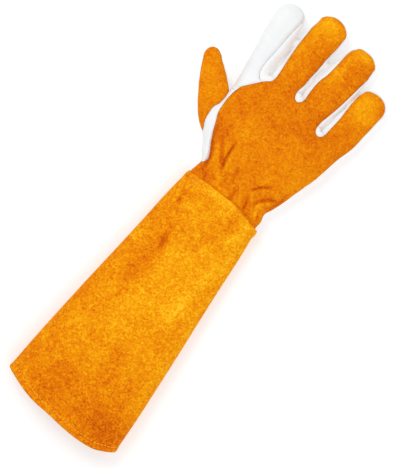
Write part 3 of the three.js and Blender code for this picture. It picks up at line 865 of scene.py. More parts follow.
@dataclass(frozen=True)
class HandPattern:
    """The panels of the hand and the seams between them."""

    shape: HandShape = HandShape()
    radial_seam: Line = (
        (-39.5, 14.5), (-36, 17), (-34.5, 20), (-34.4, 23), (-35.6, 25.5), (-38, 30), (-41, 35), (-43.5, 40),
        (-46, 45), (-48, 50), (-50, 55), (-52.3, 60), (-53.4, 65), (-53.6, 70), (-54, 75), (-53.7, 80),
        (-53, 85), (-51.6, 90), (-50, 94), (-47.5, 97), (-45, 100), (-42.3, 103.2), (-39.8, 106.2),
        (-37.6, 109), (-34.7, 111.6), (-31.3, 114.4), (-29.8, 117.8),
    )
    thumb_line: Line = (
        (-42, 14), (-44.5, 24), (-47.6, 26), (-53.1, 35.9), (-55.9, 42.9), (-58.4, 47.9), (-59.7, 55.1),
        (-59.7, 64), (-57.5, 69), (-56.6, 77), (-57.4, 84),
    )
    thumb_outside: Line = (
        (-62.2, 89.8), (-78.7, 107.7), (-114, 123.7), (-114, 80), (-61, 28), (-50, 14),
    )
    thumb_base: Line = (
        (-58.3, 84), (-42, 70), (-22, 62), (-6, 52), (1, 40), (-1, 27), (-10, 15), (-26, 9),
    )
    thumb_front_seam: Line = ((-30, 60), (-47, 66), (-62, 79), (-76, 92), (-88, 103))
    back_start: Line = ((-48, -18), (-48, 12))
    back_end: Line = ((79, 148), (56, 20), (48, -18))
    index_root: Line = ((-42, 88), (-31.8, 109.7), (-34.7, 129.7))
    index_outside: Line = ((-79, 171.6), (-79, 119.7), (-59.7, 87.8))
    # the patch: the finger and reach of each lobe, how far a lobe stays off its finger's edge, the length of
    # its round end, how far the patch stays below a crotch, and its outline from the last lobe on
    lobes: tuple[tuple[str, float], ...] = (
        ("index", 131.7), ("middle", 133.3), ("ring", 127.7), ("little", 118.7),
    )
    lobe_inset: float = 7.4
    lobe_length: float = 8.0
    lobe_gap: float = 7.6
    patch_edge: tuple[Line, ...] = (
        ((54.6, 108), (54.6, 97), (54, 90), (52, 84), (48, 80), (43, 78.9), (32, 79.2), (5, 81.5)),
        ((5, 81.2), (32, 76.6), (44, 75.2), (49.5, 73), (51.4, 68.8), (50, 62), (47.5, 57), (40, 50),
         (30, 43.5), (22, 39.8), (17, 40.6), (11, 45.5), (0, 56), (-10, 63.5), (-20, 69), (-30, 71.6),
         (-41.5, 72.6), (-46, 75.5), (-46.2, 78), (-33, 83)),
        ((-33, 83.2), (-46, 81.8), (-49, 84.5), (-51, 90), (-51.5, 100), (-51.8, 108)),
    )
    patch_stitches: tuple[float, float] = (2.0, 4.4)
    joints: tuple[float, ...] = (0.22, 0.29, 0.58, 0.64, 0.9)

    def dip(self, crotch: Crotch) -> Array:
        """Returns the dip of a side strip below its crotch.

        Args:
            crotch: where the two fingers part.

        Returns:
            The points of the dip, from the first finger's seam to the second's.
        """
        start = self.shape.finger(crotch.first).seam("right")[0]
        end = self.shape.finger(crotch.second).seam("left")[0]
        return bow(start, end, -crotch.dip, 20)

    def back(self) -> Array:
        """Returns the plan of the suede back.

        Returns:
            The points of its outline.
        """
        get, (_, second, third) = self.shape.finger, self.shape.crotches
        return np.vstack([
            self.back_start,
            dense(self.radial_seam),
            get("middle").seam("left"),
            get("middle").round_tip(),
            get("middle").seam("right")[::-1],
            self.dip(second),
            get("ring").seam("left"),
            get("ring").round_tip(),
            get("ring").seam("right")[::-1],
            self.dip(third),
            get("little").seam("left"),
            get("little").round_tip()[:-1],
            self.back_end,
        ])

    def index(self) -> Array:
        """Returns the plan of the index finger's back."""
        tip = self.shape.finger("index").round_tip()[::-1]
        return np.vstack([self.index_root, tip, self.index_outside])

    def strip(self, crotch: Crotch) -> Array:
        """Returns the plan of the side strip in a crotch."""
        first, second = self.shape.finger(crotch.first), self.shape.finger(crotch.second)
        return np.vstack([first.seam("right")[::-1], self.dip(crotch), second.seam("left")])

    def thumb(self) -> Array:
        """Returns the plan of the thumb."""
        return np.vstack([dense(self.thumb_line), self.thumb_outside])

    def thumb_front(self) -> Array:
        """Returns the plan of the thumb's front and its base on the palm."""
        return np.vstack([dense(self.thumb_base), [(-42, 7), (-50, 14)], self.thumb_outside[::-1]])

    def patch(self) -> Array:
        """Returns the plan of the palm patch: four round lobes, and an edge with two slits.

        Returns:
            The points of its outline.
        """
        outline, length = [], self.lobe_length
        for i, (name, reach) in enumerate(self.lobes):
            finger = self.shape.finger(name)
            left = (float(finger.edge("left", reach)) + self.lobe_inset, reach - length)
            right = (float(finger.edge("right", reach)) - self.lobe_inset, reach - length)
            outline += [[left], bow(left, right, length), [right]]
            if i < len(self.shape.crotches):
                after, after_reach = self.lobes[i + 1]
                bottom = self.shape.crotches[i].along - self.lobe_gap
                edge = float(self.shape.finger(after).edge("left", after_reach))
                start, end = (right[0], bottom), (edge + self.lobe_inset, bottom)
                outline += [[start], bow(start, end, -length / 2, 10), [end]]
        return np.vstack([*outline, *(dense(np.array(part)) for part in self.patch_edge)])

    def patch_rows(self) -> list[Array]:
        """Returns the two lines of stitches inside the patch's edge."""
        return [run for depth in self.patch_stitches for run in inset(self.patch(), depth)]

    def joint_creases(self) -> list[Array]:
        """Returns the creases across the fingers' fronts, over their joints.

        Returns:
            The points of each crease.
        """
        lines = []
        for finger in self.shape.fingers:
            low, high = finger.left[0][1] + 18, finger.tip_start
            for share in self.joints:
                y = low + share * (high - low)
                left, right = float(finger.edge("left", y)) + 2, float(finger.edge("right", y)) - 2
                lines.append(dense([(left, y + 1.2), ((left + right) / 2, y - 0.8), (right, y + 0.9)], 0.4))
        return lines

    def finger_seams(self) -> list[Array]:
        """Returns the seams of the side strips, with the dips below the crotches.

        Returns:
            The points of each seam.
        """
        lines = []
        for crotch in self.shape.crotches:
            lines.append(self.shape.finger(crotch.first).seam("right"))
            lines.append(self.shape.finger(crotch.second).seam("left"))
            lines.append(self.dip(crotch))
        return [dense(line, 0.4) for line in lines]

    def pinches(self) -> list[Array]:
        """Returns the lines where the side strips are pinched between the fingers."""
        return [dense(self.shape.pinch(crotch), 0.4) for crotch in self.shape.crotches]

    def seams_above(self) -> list[Array]:
        """Returns the seams that show on the upper side."""
        return [dense(self.radial_seam, 0.4), dense(self.thumb_line[2:], 0.4), *self.finger_seams()]

    def seams_below(self) -> list[Array]:
        """Returns the seams that show on the underside."""
        return [dense(self.thumb_base, 0.4), dense(self.thumb_front_seam, 0.4), *self.finger_seams()]


def nearest(spots: Array, points: Array) -> Array:
    """Returns how far points are from the nearest of some spots.

    Args:
        spots: the spots.
        points: the points.

    Returns:
        A distance for each point.
    """
    if not len(spots):
        return np.full(len(points), FAR)
    tree = KDTree(len(spots))
    for i, spot in enumerate(spots.tolist()):
        tree.insert(spot, i)
    tree.balance()
    return np.array([tree.find(point)[2] for point in points.tolist()])


def flat(points: Array) -> Array:
    """Returns points laid down on the plan."""
    return np.c_[points[:, :2], np.zeros(len(points))]


def distance_to(lines: list[Array], points: Array) -> Array:
    """Returns how far points are from the nearest line, in plan."""
    return nearest(flat(np.vstack(lines)), flat(points))


def distance_to_rim(mesh: Mesh, bend: float = 50.0) -> Array:
    """Returns how far each point is from the nearest cut edge of its mesh.

    Args:
        mesh: the mesh of a panel.
        bend: an edge is a cut edge where its faces meet at more than this many degrees.

    Returns:
        A distance for each point.
    """
    edge_of = read(mesh.loops, "edge_index", kind=np.int32)
    sides = read(mesh.polygons, "loop_total", kind=np.int32)
    areas, facing = read(mesh.polygons, "area"), read(mesh.polygons, "normal", 3)
    face_of = np.repeat(np.arange(len(sides)), sides)
    order = np.argsort(edge_of, kind="stable")
    shared = np.bincount(edge_of, minlength=len(mesh.edges))
    start = np.cumsum(np.r_[0, shared[:-1]])
    pair = np.flatnonzero(shared == 2)
    first, second = face_of[order[start[pair]]], face_of[order[start[pair] + 1]]
    bent = np.sum(facing[first] * facing[second], axis=1) < math.cos(math.radians(bend))
    bent &= np.minimum(areas[first], areas[second]) > 0.001
    points, ends = points_of(mesh), read(mesh.edges, "vertices", 2, np.int32)
    return nearest(points[np.unique(ends[pair[bent]])], points)


def inset(outline: Array, depth: float) -> list[Array]:
    """Moves a closed outline inwards.

    Args:
        outline: its points, in either direction.
        depth: how far it is moved.

    Returns:
        The runs that are left without the loops that narrow corners would make.
    """
    line = closed(outline, 1.0)
    run = np.roll(line, -1, axis=0) - np.roll(line, 1, axis=0)
    moved = line + winding(line) * depth * leftward(run)
    clear = nearest(flat(line), flat(moved)) > 0.93 * depth
    breaks = np.flatnonzero(np.diff(clear.astype(int))) + 1
    parts = zip(np.split(moved, breaks), np.split(clear, breaks))
    return [part for part, kept in parts if kept[0] and len(part) > 3]


# Finishes


class Wiring:
    """Adds nodes to a tree and wires each one in a single call."""

    def __init__(self, tree: Tree) -> None:
        """Takes the tree to work in."""
        self.tree = tree

    def add(self, kind: str, inputs: dict[str | int, object] | None = None, **settings: object) -> Node:
        """Adds a node.

        Args:
            kind: the node's type.
            inputs: for each input, by name or number, its value or the socket that feeds it.
            **settings: values of the node's own properties.

        Returns:
            The node.
        """
        node = self.tree.nodes.new(kind)
        for name, value in settings.items():
            setattr(node, name, value)
        self.wire(node, inputs or {})
        return node

    def wire(self, node: Node, inputs: dict[str | int, object]) -> None:
        """Gives a node's inputs, by name or number, their values or the sockets that feed them.

        Args:
            node: the node.
            inputs: for each input its value, or the socket that feeds it.
        """
        for key, value in inputs.items():
            if isinstance(value, Socket):
                self.tree.links.new(value, node.inputs[key])
            else:
                node.inputs[key].default_value = value

    def maths(self, operation: str, *values: object) -> Socket:
        """Returns the result of a calculation with numbers or sockets."""
        return self.add("ShaderNodeMath", dict(enumerate(values)), operation=operation).outputs[0]

    def sum_of(self, *terms: tuple[object, float]) -> Socket:
        """Returns the sum of sockets, each times its weight.

        Args:
            *terms: pairs of a socket and its weight.

        Returns:
            The sum.
        """
        total = self.maths("MULTIPLY", *terms[0])
        for socket, weight in terms[1:]:
            total = self.maths("MULTIPLY_ADD", socket, weight, total)
        return total

    def blend(self, share: object, first: object, second: object) -> Socket:
        """Returns a mix of two colours."""
        first, second = ((*value, 1) if isinstance(value, tuple) else value for value in (first, second))
        return self.add("ShaderNodeMix", {0: share, 6: first, 7: second}, data_type="RGBA").outputs[2]

    def noise(self, vector: Socket, size: object, detail: float, rough: float, twist: float = 0.0) -> Socket:
        """Returns noise from 0 to 1 with lumps of the given size.

        Args:
            vector: the place.
            size: size of the lumps in metres.
            detail: how many finer layers it has.
            rough: how strong each finer layer is.
            twist: how far the lumps are pulled about.

        Returns:
            The noise.
        """
        scale = self.maths("DIVIDE", 1.0, size)
        values = {"Vector": vector, "Scale": scale, "Detail": detail, "Roughness": rough, "Distortion": twist}
        return self.add("ShaderNodeTexNoise", values).outputs["Fac"]

    def within(self, value: Socket, low: object, high: object) -> Socket:
        """Returns a smooth ramp that is 1 below low and 0 above high."""
        values = {"Value": value, "From Min": low, "From Max": high, "To Min": 1.0, "To Max": 0.0}
        return self.add("ShaderNodeMapRange", values, interpolation_type="SMOOTHSTEP").outputs[0]


class Effect(Wiring):
    """A shader node group with a Vector input, named sizes and named results."""

    def __init__(self, name: str, sizes: tuple[str, ...], results: tuple[str, ...]) -> None:
        """Makes the group and its sockets.

        Args:
            name: the group's name.
            sizes: its inputs beside the vector.
            results: its outputs.
        """
        super().__init__(bpy.data.node_groups.new(name, "ShaderNodeTree"))
        self.tree.interface.new_socket("Vector", in_out="INPUT", socket_type="NodeSocketVector")
        for side, labels in (("INPUT", sizes), ("OUTPUT", results)):
            for label in labels:
                self.tree.interface.new_socket(label, in_out=side, socket_type="NodeSocketFloat")
        self.given = self.add("NodeGroupInput").outputs
        self.results = results

    def finish(self, *sockets: Socket) -> Tree:
        """Returns the group with its results wired."""
        self.add("NodeGroupOutput", dict(zip(self.results, sockets)))
        return self.tree


def nap_effect() -> Tree:
    """Returns the nap of split leather: clouds, brush marks and fibres, and their height.

    Returns:
        The node group.
    """
    sizes = ("Cloud Size", "Brush Size", "Fibre Size")
    group = Effect("suede_nap", sizes, ("Cloud", "Brush", "Fibre", "Height"))
    vector, cloud_size, brush_size, fibre_size = group.given[:4]
    cloud = group.noise(vector, cloud_size, 3.0, 0.6, 0.5)
    brush = group.noise(vector, brush_size, 3.0, 0.65, 0.8)
    fibre = group.noise(vector, fibre_size, 3.0, 0.75, 0.3)
    return group.finish(cloud, brush, fibre, group.sum_of((fibre, 0.65), (brush, 0.35)))


def grain_effect() -> Tree:
    """Returns the surface of grain leather: pores, cross wrinkles and clouds, and their height.

    Returns:
        The node group.
    """
    group = Effect("leather_grain", ("Pore Size", "Wrinkle Size"), ("Pores", "Wrinkles", "Cloud", "Height"))
    vector, pore_size, wrinkle_size = group.given[:3]
    scale = group.maths("DIVIDE", 1.0, pore_size)
    spread = {"Vector": vector, "Scale": scale, "Smoothness": 0.6}
    cells = group.add("ShaderNodeTexVoronoi", spread, feature="SMOOTH_F1")
    across = group.add("ShaderNodeMapping", {"Vector": vector, "Scale": (0.35, 1.6, 0.35)}).outputs[0]
    wrinkles = group.noise(across, wrinkle_size, 3.0, 0.6, 1.0)
    cloud = group.noise(vector, group.maths("MULTIPLY", wrinkle_size, 4.0), 2.0, 0.5)
    pores = cells.outputs["Distance"]
    return group.finish(pores, wrinkles, cloud, group.sum_of((pores, 0.25), (wrinkles, 0.9)))


def rim_effect() -> Tree:
    """Returns how much of a cut edge's darkening, partly wear and partly painted shade, shows at a distance
    from the edge, broken up by noise.

    Returns:
        The node group.
    """
    group = Effect("rim_wear_and_shade", ("Distance", "Reach", "Break Size"), ("Line",))
    vector, distance, reach, break_size = group.given[:4]
    ragged = group.sum_of((group.noise(vector, break_size, 2.0, 0.6), 1.2), (distance, 1.0))
    return group.finish(group.within(ragged, 0.5, group.maths("ADD", reach, 0.5)))


@dataclass
class Effects:
    """The effects that several finishes share."""

    nap: Tree = field(default_factory=nap_effect)
    grain: Tree = field(default_factory=grain_effect)
    rim: Tree = field(default_factory=rim_effect)


@dataclass(frozen=True)
class Finish:
    """What every finish has: its name, its roughness, the darkening of its cut edges, partly wear and partly
    painted shade, and its relief.
    """

    name: str
    roughness: float = 0.85
    specular: float = 0.06
    sheen: float = 0.0
    sheen_tint: Colour = (1.0, 0.5, 0.03)
    # the darker cut edges, partly wear and partly painted shade: their colour, how much of it shows, how far
    # it reaches and how large its breaks are
    rim: Colour = (0.42, 0.095, 0.001)
    rim_share: float = 0.6
    rim_reach: float = 0.9
    rim_break: float = 0.003
    # strength, and depth in metres
    relief: tuple[float, float] = (0.55, 0.0009)


class Coat(Wiring):
    """The nodes of one material: its shader and what feeds it."""

    def __init__(self, finish: Finish) -> None:
        """Makes the material and gives its shader the values that are the same all over.

        Args:
            finish: the finish that the material shows.
        """
        self.look = finish
        self.material = bpy.data.materials.new(finish.name)
        self.material.use_nodes = True
        super().__init__(self.material.node_tree)
        self.shader = self.tree.nodes["Principled BSDF"]
        self.place = self.add("ShaderNodeTexCoord").outputs["Object"]
        self.wire(self.shader, {
            "Roughness": finish.roughness, "Specular IOR Level": finish.specular,
            "Sheen Weight": finish.sheen, "Sheen Roughness": 0.4, "Sheen Tint": (*finish.sheen_tint, 1),
        })

    def effect(self, tree: Tree, sizes: dict[str, object]) -> dict[str, Socket]:
        """Returns the results of an effect at the place on the piece."""
        return self.add("ShaderNodeGroup", {"Vector": self.place} | sizes, node_tree=tree).outputs

    def own(self, label: str) -> Socket:
        """Returns what the piece itself says at each point."""
        return self.add("ShaderNodeAttribute", attribute_name=label).outputs["Fac"]

    def clamped(self, value: Socket, less: float) -> Socket:
        """Returns a value less a number, held between 0 and 1."""
        return self.add("ShaderNodeClamp", {"Value": self.maths("SUBTRACT", value, less)}).outputs[0]

    def worn_and_shaded(self, rim: Tree, colour: Socket) -> Socket:
        """Returns a colour with the darkening of the piece's cut edges on it, partly wear and partly painted
        shade.

        Args:
            rim: the effect of cut edges.
            colour: the colour of the leather.

        Returns:
            The mixed colour.
        """
        look = self.look
        sizes = {"Distance": self.own("rim"), "Reach": look.rim_reach, "Break Size": look.rim_break}
        share = self.maths("MULTIPLY", self.effect(rim, sizes)["Line"], look.rim_share)
        return self.blend(share, colour, look.rim)

    def rough(self, less: float, *terms: tuple[Socket, float]) -> Socket:
        """Returns the finish's roughness less a number, with sockets added, each times its weight."""
        return self.maths("ADD", self.sum_of(*terms), self.look.roughness - less)

    def finish(self, inputs: dict[str, Socket], height: Socket) -> Material:
        """Returns the material, with the shader's inputs fed and a height as its relief.

        Args:
            inputs: what feeds the shader's inputs.
            height: the height.

        Returns:
            The material.
        """
        strength, depth = self.look.relief
        relief = self.add("ShaderNodeBump", {"Height": height, "Strength": strength, "Distance": depth})
        self.wire(self.shader, inputs | {"Normal": relief.outputs[0]})
        return self.material


@dataclass(frozen=True)
class Suede(Finish):
    """Napped split leather, mottled from a deep to a pale colour of its dye, and moved along that range by
    each piece's own lighter or darker values, which carry painted light and shade.
    """

    shades: tuple[tuple[float, Colour], ...] = (
        (0.0, (0.47, 0.068, 0.0005)),
        (0.25, (0.69, 0.140, 0.0006)),
        (0.5, (0.82, 0.25, 0.001)),
        (0.75, (0.92, 0.395, 0.003)),
        (1.0, (1.0, 0.575, 0.02)),
    )
    lean: float = 0.0
    cloud_size: float = 0.026
    brush_size: float = 0.0042
    fibre_size: float = 0.0019
    weights: tuple[float, float, float] = (0.55, 0.9, 1.4)

    def material(self, effects: Effects) -> Material:
        """Returns the finish as a material.

        Args:
            effects: the shared effects.

        Returns:
            The material.
        """
        coat = Coat(self)
        sizes = {"Cloud Size": self.cloud_size, "Brush Size": self.brush_size, "Fibre Size": self.fibre_size}
        nap = coat.effect(effects.nap, sizes)
        mottle = coat.sum_of(*zip((nap["Cloud"], nap["Brush"], nap["Fibre"]), self.weights))
        middle = self.lean + 0.5 - 0.5 * sum(self.weights)
        # each piece's own values add painted light on ridges and painted shade in creases to the mottle
        level = coat.maths("ADD", coat.maths("ADD", mottle, coat.own("tone")), middle)
        ramp = coat.add("ShaderNodeValToRGB", {0: level})
        stops = ramp.color_ramp.elements
        for _ in range(len(self.shades) - 2):
            stops.new(0.5)
        for stop, (position, colour) in zip(stops, self.shades):
            stop.position = position
            stop.color = (*colour, 1)
        colour = coat.worn_and_shaded(effects.rim, ramp.outputs[0])
        rough = coat.rough(0.17, (nap["Brush"], 0.25), (nap["Fibre"], 0.1))
        return coat.finish({"Base Color": colour, "Roughness": rough}, nap["Height"])


@dataclass(frozen=True)
class GrainLeather(Finish):
    """Smooth pale leather with fine pores and cross wrinkles, mottled towards a blue-grey shade colour that
    also takes painted shade, and with greyer seams that are partly wear and partly painted shade.
    """

    colour: Colour = (0.89, 0.89, 0.885)
    shade: Colour = (0.74, 0.77, 0.80)
    rim: Colour = (0.60, 0.57, 0.52)
    rim_share: float = 0.5
    rim_reach: float = 0.6
    rim_break: float = 0.002
    relief: tuple[float, float] = (0.35, 0.0006)
    pore_size: float = 0.0011
    wrinkle_size: float = 0.0065

    def material(self, effects: Effects) -> Material:
        """Returns the finish as a material.

        Args:
            effects: the shared effects.

        Returns:
            The material.
        """
        coat = Coat(self)
        grain = coat.effect(effects.grain, {"Pore Size": self.pore_size, "Wrinkle Size": self.wrinkle_size})
        # each piece's own values pull towards the shade colour: painted shade along the pinches of the side
        # strips
        shade = coat.sum_of((grain["Cloud"], 1.0), (grain["Wrinkles"], 0.5), (coat.own("tone"), -1.0))
        colour = coat.blend(coat.clamped(shade, 0.5), self.colour, self.shade)
        colour = coat.worn_and_shaded(effects.rim, colour)
        rough = coat.rough(0.15, (grain["Cloud"], 0.2), (grain["Pores"], 0.15))
        return coat.finish({"Base Color": colour, "Roughness": rough}, grain["Height"])


@dataclass(frozen=True)
class Thread(Finish):
    """Twisted sewing thread."""

    colour: Colour = (0.98, 0.52, 0.035)
    shade: Colour = (0.90, 0.36, 0.008)
    twist: float = 0.0006
    relief: tuple[float, float] = (0.5, 0.0003)

    def material(self, effects: Effects) -> Material:
        """Returns the finish as a material.

        Args:
            effects: the shared effects.

        Returns:
            The material.
        """
        coat = Coat(self)
        nap = coat.effect(effects.nap, {"Cloud Size": 0.01, "Brush Size": 0.002, "Fibre Size": self.twist})
        share = coat.clamped(coat.sum_of((nap["Brush"], 0.9), (nap["Fibre"], 0.6)), 0.35)
        colour = coat.blend(share, self.colour, self.shade)
        return coat.finish({"Base Color": colour}, nap["Fibre"])


@dataclass(frozen=True)
class Board(Finish):
    """The pale board that the glove lies on, lit a little from within so that shadows stay soft."""

    colour: Colour = (0.66, 0.66, 0.66)
    glow: float = 0.38

    def material(self) -> Material:
        """Returns the finish as a material.

        Returns:
            The material.
        """
        coat = Coat(self)
        lit = {"Emission Color": (1, 1, 1, 1), "Emission Strength": self.glow}
        coat.wire(coat.shader, {"Base Color": (*self.colour, 1)} | lit)
        return coat.material


# Pieces


class Place:
    """Puts finished meshes into the part's frame."""

    def __init__(self) -> None:
        """Finds the wrist seam from the cuff's own box."""
        low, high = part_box("gauntlet_cuff")
        self.origin = np.array([(low[0] + high[0]) / 2 / MM, high[1] / MM - CUFF_START, 0.0])

    def piece(self, name: str, mesh: Mesh, material: Material, slot: str, nodes: tuple[str, ...] = (),
              tone: Array | float = 0.0, rim: Array | float | None = None) -> Thing:
        """Makes a mesh a piece of the object.

        Args:
            name: the piece's name.
            mesh: its mesh in the glove's frame.
            material: its finish.
            slot: the record's material slot; not used.
            nodes: the solids that it stands for.
            tone: how much lighter or darker the finish is at each point, which holds painted light and shade.
            rim: each point's distance from a cut edge, where the mesh doesn't tell it.

        Returns:
            The piece.
        """
        for label, values in (("tone", tone), ("rim", distance_to_rim(mesh) if rim is None else rim)):
            layer = mesh.attributes.new(label, "FLOAT", "POINT")
            layer.data.foreach_set("value", np.broadcast_to(values, len(mesh.vertices)).astype(np.float32))
        move_to(mesh, (points_of(mesh) + self.origin) * MM)
        mesh.materials.clear()
        mesh.materials.append(material)
        mesh.shade_smooth()
        mesh.set_sharp_from_angle(angle=SHARP_ANGLE)
        piece = linked(name, mesh)
        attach(piece, "root")
        if nodes:
            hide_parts(*nodes)
        log.info("%s: %d triangles", name, triangle_count(mesh))
        return piece


@dataclass(frozen=True)
class Shading:
    """Where the colour is lighter or darker, in patches that are partly the leather's own mottle and partly
    painted light on ridges and painted shade in hollows, and how much painted shade a fold gets.
    """

    # x, y, half width, half length, and how much lighter or darker, which is partly painted light and shade
    spots: Table = ()
    # how much a fold darkens the colour for each millimetre of its depth: painted shade in the fold
    crease: float = 0.13

    def tone(self, points: Array, normals: Array, folds: tuple[Fold, ...]) -> Array:
        """Returns how much lighter or darker each point of a piece is, painted light and shade included.

        Args:
            points: the points.
            normals: their normals.
            folds: the folds that darken.

        Returns:
            How much lighter or darker each point is.
        """
        x, y = points[:, 0], points[:, 1]
        wander = 3 * ripple(points, 14.0, 9.3)
        total = np.zeros(len(points))
        for across, along, wide, long, strength in self.spots:
            total += strength * bell(x + wander - across, wide) * bell(y + wander - along, long)
        # painted shade in the folds, darker the deeper they press in
        total -= self.crease * sum((fold.press(x, y) for fold in folds), np.zeros(len(points)))
        return total * smoothstep(normals[:, 2], -0.2, 0.3)


class Surface:
    """Finds places on a finished mesh."""

    def __init__(self, mesh: Mesh) -> None:
        """Takes the mesh to search."""
        faces = [tuple(face.vertices) for face in mesh.polygons]
        self.tree = BVHTree.FromPolygons(points_of(mesh).tolist(), faces)

    def under(self, line: Array) -> tuple[Array, Array]:
        """Returns the places and normals where a line in plan meets the mesh from below."""
        return self.found([self.tree.ray_cast(Vector((x, y, -FAR)), Vector((0, 0, 1))) for x, y in line])

    def near(self, points: Array) -> tuple[Array, Array]:
        """Returns the places and normals of the mesh nearest to some points."""
        return self.found([self.tree.find_nearest(Vector(point)) for point in points])

    @staticmethod
    def found(hits: list[tuple]) -> tuple[Array, Array]:
        """Returns the places and normals of the searches that met the mesh."""
        kept = [hit for hit in hits if hit[0] is not None]
        return np.array([hit[0] for hit in kept]), np.array([hit[1] for hit in kept])


@dataclass(frozen=True)
class Stitch:
    """The stitches of a row: from one to the next, the length of one, and the thread's thickness."""

    pitch: float
    length: float
    thickness: float


class Stitcher:
    """Sets stitches along lines on the leather with geometry nodes."""

    # half of the shortest and the longest stitch, as shares of the wanted length
    halves: tuple[float, float] = (0.42, 0.54)
    seed: int = 7

    def __init__(self, place: Place, thread: Material) -> None:
        """Builds the node tree.

        Args:
            place: where the finished rows go.
            thread: the thread's finish.
        """
        self.place, self.thread = place, thread
        self.tree = bpy.data.node_groups.new("stitch_rows", "GeometryNodeTree")
        kinds = {"Geometry": "Geometry", "Pitch": "Float", "Length": "Float", "Thickness": "Float",
                 "Seed": "Int", "Material": "Material"}
        for label, kind in kinds.items():
            self.tree.interface.new_socket(label, in_out="INPUT", socket_type="NodeSocket" + kind)
        self.tree.interface.new_socket("Geometry", in_out="OUTPUT", socket_type="NodeSocketGeometry")
        wiring = Wiring(self.tree)
        add = wiring.add
        given = add("NodeGroupInput").outputs
        line = add("GeometryNodeMeshToCurve", {0: given["Geometry"]})
        steps = {"Curve": line.outputs[0], "Length": given["Pitch"]}
        spaced = add("GeometryNodeResampleCurve", steps, mode="LENGTH")
        up = add("GeometryNodeInputNamedAttribute", {"Name": "up"}, data_type="FLOAT_VECTOR")
        along = add("GeometryNodeInputTangent")
        axes = {"Primary Axis": along.outputs[0], "Secondary Axis": up.outputs["Attribute"]}
        turned = add("FunctionNodeAxesToRotation", axes, primary_axis="X", secondary_axis="Z")
        spread = {2: self.halves[0], 3: self.halves[1], "Seed": given["Seed"]}
        vary = add("FunctionNodeRandomValue", spread, data_type="FLOAT")
        long = wiring.maths("MULTIPLY", given["Length"], vary.outputs[1])
        thick = wiring.maths("MULTIPLY", given["Thickness"], 0.5)
        size = add("ShaderNodeCombineXYZ", {"X": long, "Y": thick, "Z": thick})
        stitch = add("GeometryNodeMeshUVSphere", {"Segments": 6, "Rings": 4, "Radius": 1.0})
        wanted = {"Points": spaced.outputs[0], "Instance": stitch.outputs[0], "Rotation": turned.outputs[0]}
        row = add("GeometryNodeInstanceOnPoints", wanted | {"Scale": size.outputs[0]})
        real = add("GeometryNodeRealizeInstances", {0: row.outputs[0]})
        dressed = add("GeometryNodeSetMaterial", {0: real.outputs[0], "Material": given["Material"]})
        add("NodeGroupOutput", {0: dressed.outputs[0]})

    def sew(self, name: str, slot: str, rows: list[tuple[Array, Array]], stitch: Stitch) -> None:
        """Sews rows of stitches and makes them one piece.

        Args:
            name: the piece's name.
            slot: the record's material slot.
            rows: the points and normals of each row.
            stitch: the size of the stitches.
        """
        points, normals = (np.vstack(part) for part in zip(*rows))
        ends = np.cumsum([len(row) for row, _ in rows]) - 1
        starts = np.setdiff1d(np.arange(ends[-1]), ends)
        lines = bpy.data.meshes.new(name)
        lines.from_pydata(points.tolist(), np.c_[starts, starts + 1].tolist(), [])
        up = lines.attributes.new("up", "FLOAT_VECTOR", "POINT")
        up.data.foreach_set("vector", normals.astype(np.float32).ravel())
        worked = linked(name, lines)
        modifier = worked.modifiers.new("stitches", "NODES")
        modifier.node_group = self.tree
        sizes = {"Pitch": stitch.pitch, "Length": stitch.length, "Thickness": stitch.thickness}
        values = sizes | {"Seed": self.seed, "Material": self.thread}
        for item in self.tree.interface.items_tree:
            if item.name in values:
                modifier[item.identifier] = values[item.name]
        self.place.piece(name, evaluated(worked), self.thread, slot, rim=FAR)


@dataclass
class Leathers:
    """The materials that the glove is cut from."""

    suede: Material
    cuff: Material
    band: Material
    grain: Material
    strip: Material


